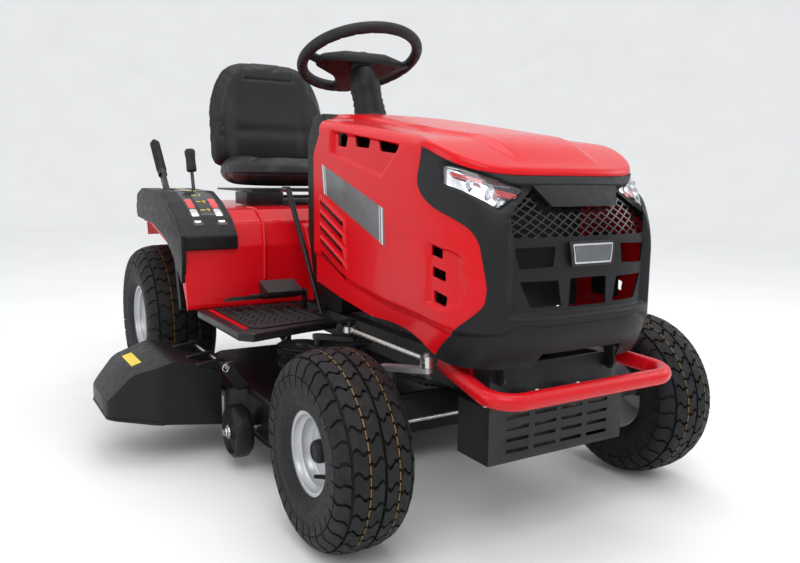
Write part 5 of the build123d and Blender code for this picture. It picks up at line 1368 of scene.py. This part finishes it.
def cushion_skin(u, v):
    a, b = rounded_square(u, v, 5.0)
    y = -74.0 + b * 184.0
    x = a * (214.0 - 46.0 * step_up(-y, 70.0, 262.0))
    edge = max(0.0, 1.0 - max(abs(u), abs(v)) ** 6) ** 0.5
    bolster = 20.0 * step_up(abs(x), 120.0, 190.0) * step_up(y, -270.0, -120.0)
    front_roll = 6.0 * step_up(-y, 150.0, 235.0)
    dish = 7.0 * math.exp(-((x / 110.0) ** 2) - (((y + 40.0) / 110.0) ** 2))
    dimple = 7.0 * math.exp(-((x / 46.0) ** 2) - (((y + 236.0) / 40.0) ** 2))
    rise = 44.0 + bolster + front_roll - dish - dimple
    return (x, y, 702.0 + rise * edge), (x * 0.97, y * 0.97 - 2.0, 700.0 - 30.0 * edge)


def back_skin(u, v):
    a, b = rounded_square(u, v, 4.0 if v > 0 else 9.0)
    width = 221.0 - 36.0 * step_up(b, -0.05, 1.0)
    x = a * width
    s = 194.0 + b * 192.0
    edge = max(0.0, 1.0 - max(abs(u), abs(v)) ** 6) ** 0.5
    wing = 28.0 * step_up(abs(x), 110.0, 186.0) * step_up(360.0 - s, 0.0, 200.0)
    lumbar = 12.0 * math.exp(-(((s - 120.0) / 80.0) ** 2)) * (1 - step_up(abs(x), 90.0, 150.0))
    front = (16.0 + wing + lumbar) * edge
    rear = (18.0 + 8.0 * math.exp(-((x / 120.0) ** 2))) * edge
    lean = math.radians(6.0)
    base = Vector((x, 94.0 + s * math.sin(lean), 712.0 + s * math.cos(lean)))
    ahead_of = Vector((0, -math.cos(lean), math.sin(lean)))
    return tuple(base + ahead_of * front), tuple(base - ahead_of * rear)


def puff(obj, pressure, cap, voxel):
    """Stuffed look: remesh, inflate as cloth, cap the movement, and subdivide once."""
    modify(obj, "REMESH", mode="VOXEL", voxel_size=voxel * MM)
    rest = [v.co.copy() for v in obj.data.vertices]
    cloth = obj.modifiers.new("cloth", "CLOTH")
    cloth.settings.use_pressure = True
    cloth.settings.uniform_pressure_force = pressure
    cloth.settings.effector_weights.gravity = 0.0
    cloth.settings.quality = 5
    cloth.point_cache.frame_start, cloth.point_cache.frame_end = 1, 20
    for step in range(1, 21):
        bpy.context.scene.frame_set(step)
    graph = bpy.context.evaluated_depsgraph_get()
    shape = bpy.data.meshes.new_from_object(obj.evaluated_get(graph))
    moved = [v.co.copy() for v in shape.vertices]
    obj.modifiers.clear()
    for vertex, before, after in zip(obj.data.vertices, rest, moved):
        shift = after - before
        if shift.length > cap * MM:
            shift = shift.normalized() * cap * MM
        vertex.co = before + shift
    bpy.context.scene.frame_set(1)
    modify(obj, "SMOOTH", factor=0.5, iterations=3)
    modify(obj, "SUBSURF", levels=1, render_levels=1)
    tidy(obj, 180.0)


def press(obj, depth_at):
    """Push each point by a function that gives a shift in millimetres."""
    for vertex in obj.data.vertices:
        p = vertex.co / MM
        vertex.co += Vector(depth_at(p)) * MM


def cushion_detail(p):
    """The sewn seam round the cushion's side."""
    away = Vector((p.x / (214.0 - 46.0 * step_up(-p.y, 70.0, 262.0)), (p.y + 74.0) / 184.0, 0.0))
    deep = 3.0 * math.exp(-(((p.z - 701.0) / 3.5) ** 2))
    return away.normalized() * -deep if away.length > 0.8 else away * 0.0


def back_detail(p):
    """The soft crease across the backrest and the sewn panel at head height."""
    lean = math.radians(6.0)
    s = (p.z - 712.0) / math.cos(lean)
    if p.y > 94.0 + s * math.sin(lean):
        return 0.0, 0.0, 0.0
    deep = 6.0 * math.exp(-(((s - 138.0) / 20.0) ** 2)) * (1.0 - step_up(abs(p.x), 90.0, 165.0))
    panel = min(92.0 - abs(p.x), s - 318.0)
    deep += 4.0 * math.exp(-((panel / 4.0) ** 2)) * (1.0 - step_up(s, 352.0, 372.0))
    return 0.0, deep, 0.0


cushion = closed_pad("cushion_form", 44, 40, cushion_skin, "seat", ("seat_cushion",))
puff(cushion, 4.0, 8.0, 5.0)
press(cushion, cushion_detail)
back = closed_pad("backrest_form", 44, 44, back_skin, "seat", ("seat_backrest",))
puff(back, 4.0, 8.0, 5.0)
press(back, back_detail)

bracket_box = prism("seat_bracket", corners([(-215, -262), (-95, -262), (-95, -150), (-215, -150)], 6.0), "Z",
                    608, 646,
                    BLACK_PAINT, "seat_slider", slot="black_paint")
soften(bracket_box, 3.0, 2)

# ------------------------------------------------------------------------ stage
floor_rows = []
for k in range(61):
    reach = 250.0 * k
    level = -0.4 + 7000.0 * step_up(reach, 7500.0, 15000.0)
    floor_rows.append([(reach * math.cos(math.pi * j / 36), reach * math.sin(math.pi * j / 36),
                        level) for j in range(72)])
floor_points, floor_faces = grid(floor_rows, closed_across=True)
ground = mesh_piece("studio_floor", floor_points, floor_faces,
                    finish("studio_floor", (0.87, 0.875, 0.88), 0.55, vary=0.015, vary_scale=2.0, grain=0.04,
                           grain_scale=60.0),
                    None)

world = bpy.data.worlds.new("studio")
bpy.context.scene.world = world
world.use_nodes = True
world.node_tree.nodes["Background"].inputs["Color"].default_value = (0.93, 0.94, 0.95, 1.0)
world.node_tree.nodes["Background"].inputs["Strength"].default_value = 1.0


def softbox(name, place, target, size, power):
    """A rectangular studio light aimed at a point."""
    lamp = bpy.data.lights.new(name, "AREA")
    lamp.shape = "RECTANGLE"
    lamp.size, lamp.size_y = size
    lamp.energy = power
    obj = bpy.data.objects.new(name, lamp)
    bpy.context.scene.collection.objects.link(obj)
    obj.location = place
    obj.rotation_euler = (Vector(target) - Vector(place)).to_track_quat("-Z", "Y").to_euler()


softbox("key_light", (-1.6, -3.2, 3.4), (0, -0.7, 0.4), (2.6, 1.8), 46)
softbox("top_light", (0.3, -0.7, 3.6), (0, -0.7, 0.4), (3.2, 2.4), 40)
softbox("side_light", (-4.0, -0.2, 1.8), (0, -0.6, 0.5), (2.2, 1.6), 20)
softbox("far_light", (3.2, -2.2, 2.2), (0, -0.8, 0.5), (2.0, 1.6), 18)

# ----------------------------------------------------------------------- camera
YAW, PITCH, ROLL = 0.544, 0.142, 0.012
ahead = Vector((math.sin(YAW) * math.cos(PITCH), math.cos(YAW) * math.cos(PITCH), -math.sin(PITCH)))
level = Vector((math.cos(YAW), -math.sin(YAW), 0.0))
upright = level.cross(ahead)
right = math.cos(ROLL) * level + math.sin(ROLL) * upright
above = -math.sin(ROLL) * level + math.cos(ROLL) * upright
lens = bpy.data.cameras.new("camera")
lens.sensor_width = 36.0
lens.lens = 33.9
lens.clip_start = 0.05
camera = bpy.data.objects.new("camera", lens)
bpy.context.scene.collection.objects.link(camera)
camera.matrix_world = Matrix((
    (right.x, above.x, -ahead.x, -1.009634), (right.y, above.y, -ahead.y, -2.483402),
    (right.z, above.z, -ahead.z, 0.706919), (0, 0, 0, 1),
))
bpy.context.scene.camera = camera
bpy.context.scene.view_settings.view_transform = "Standard"
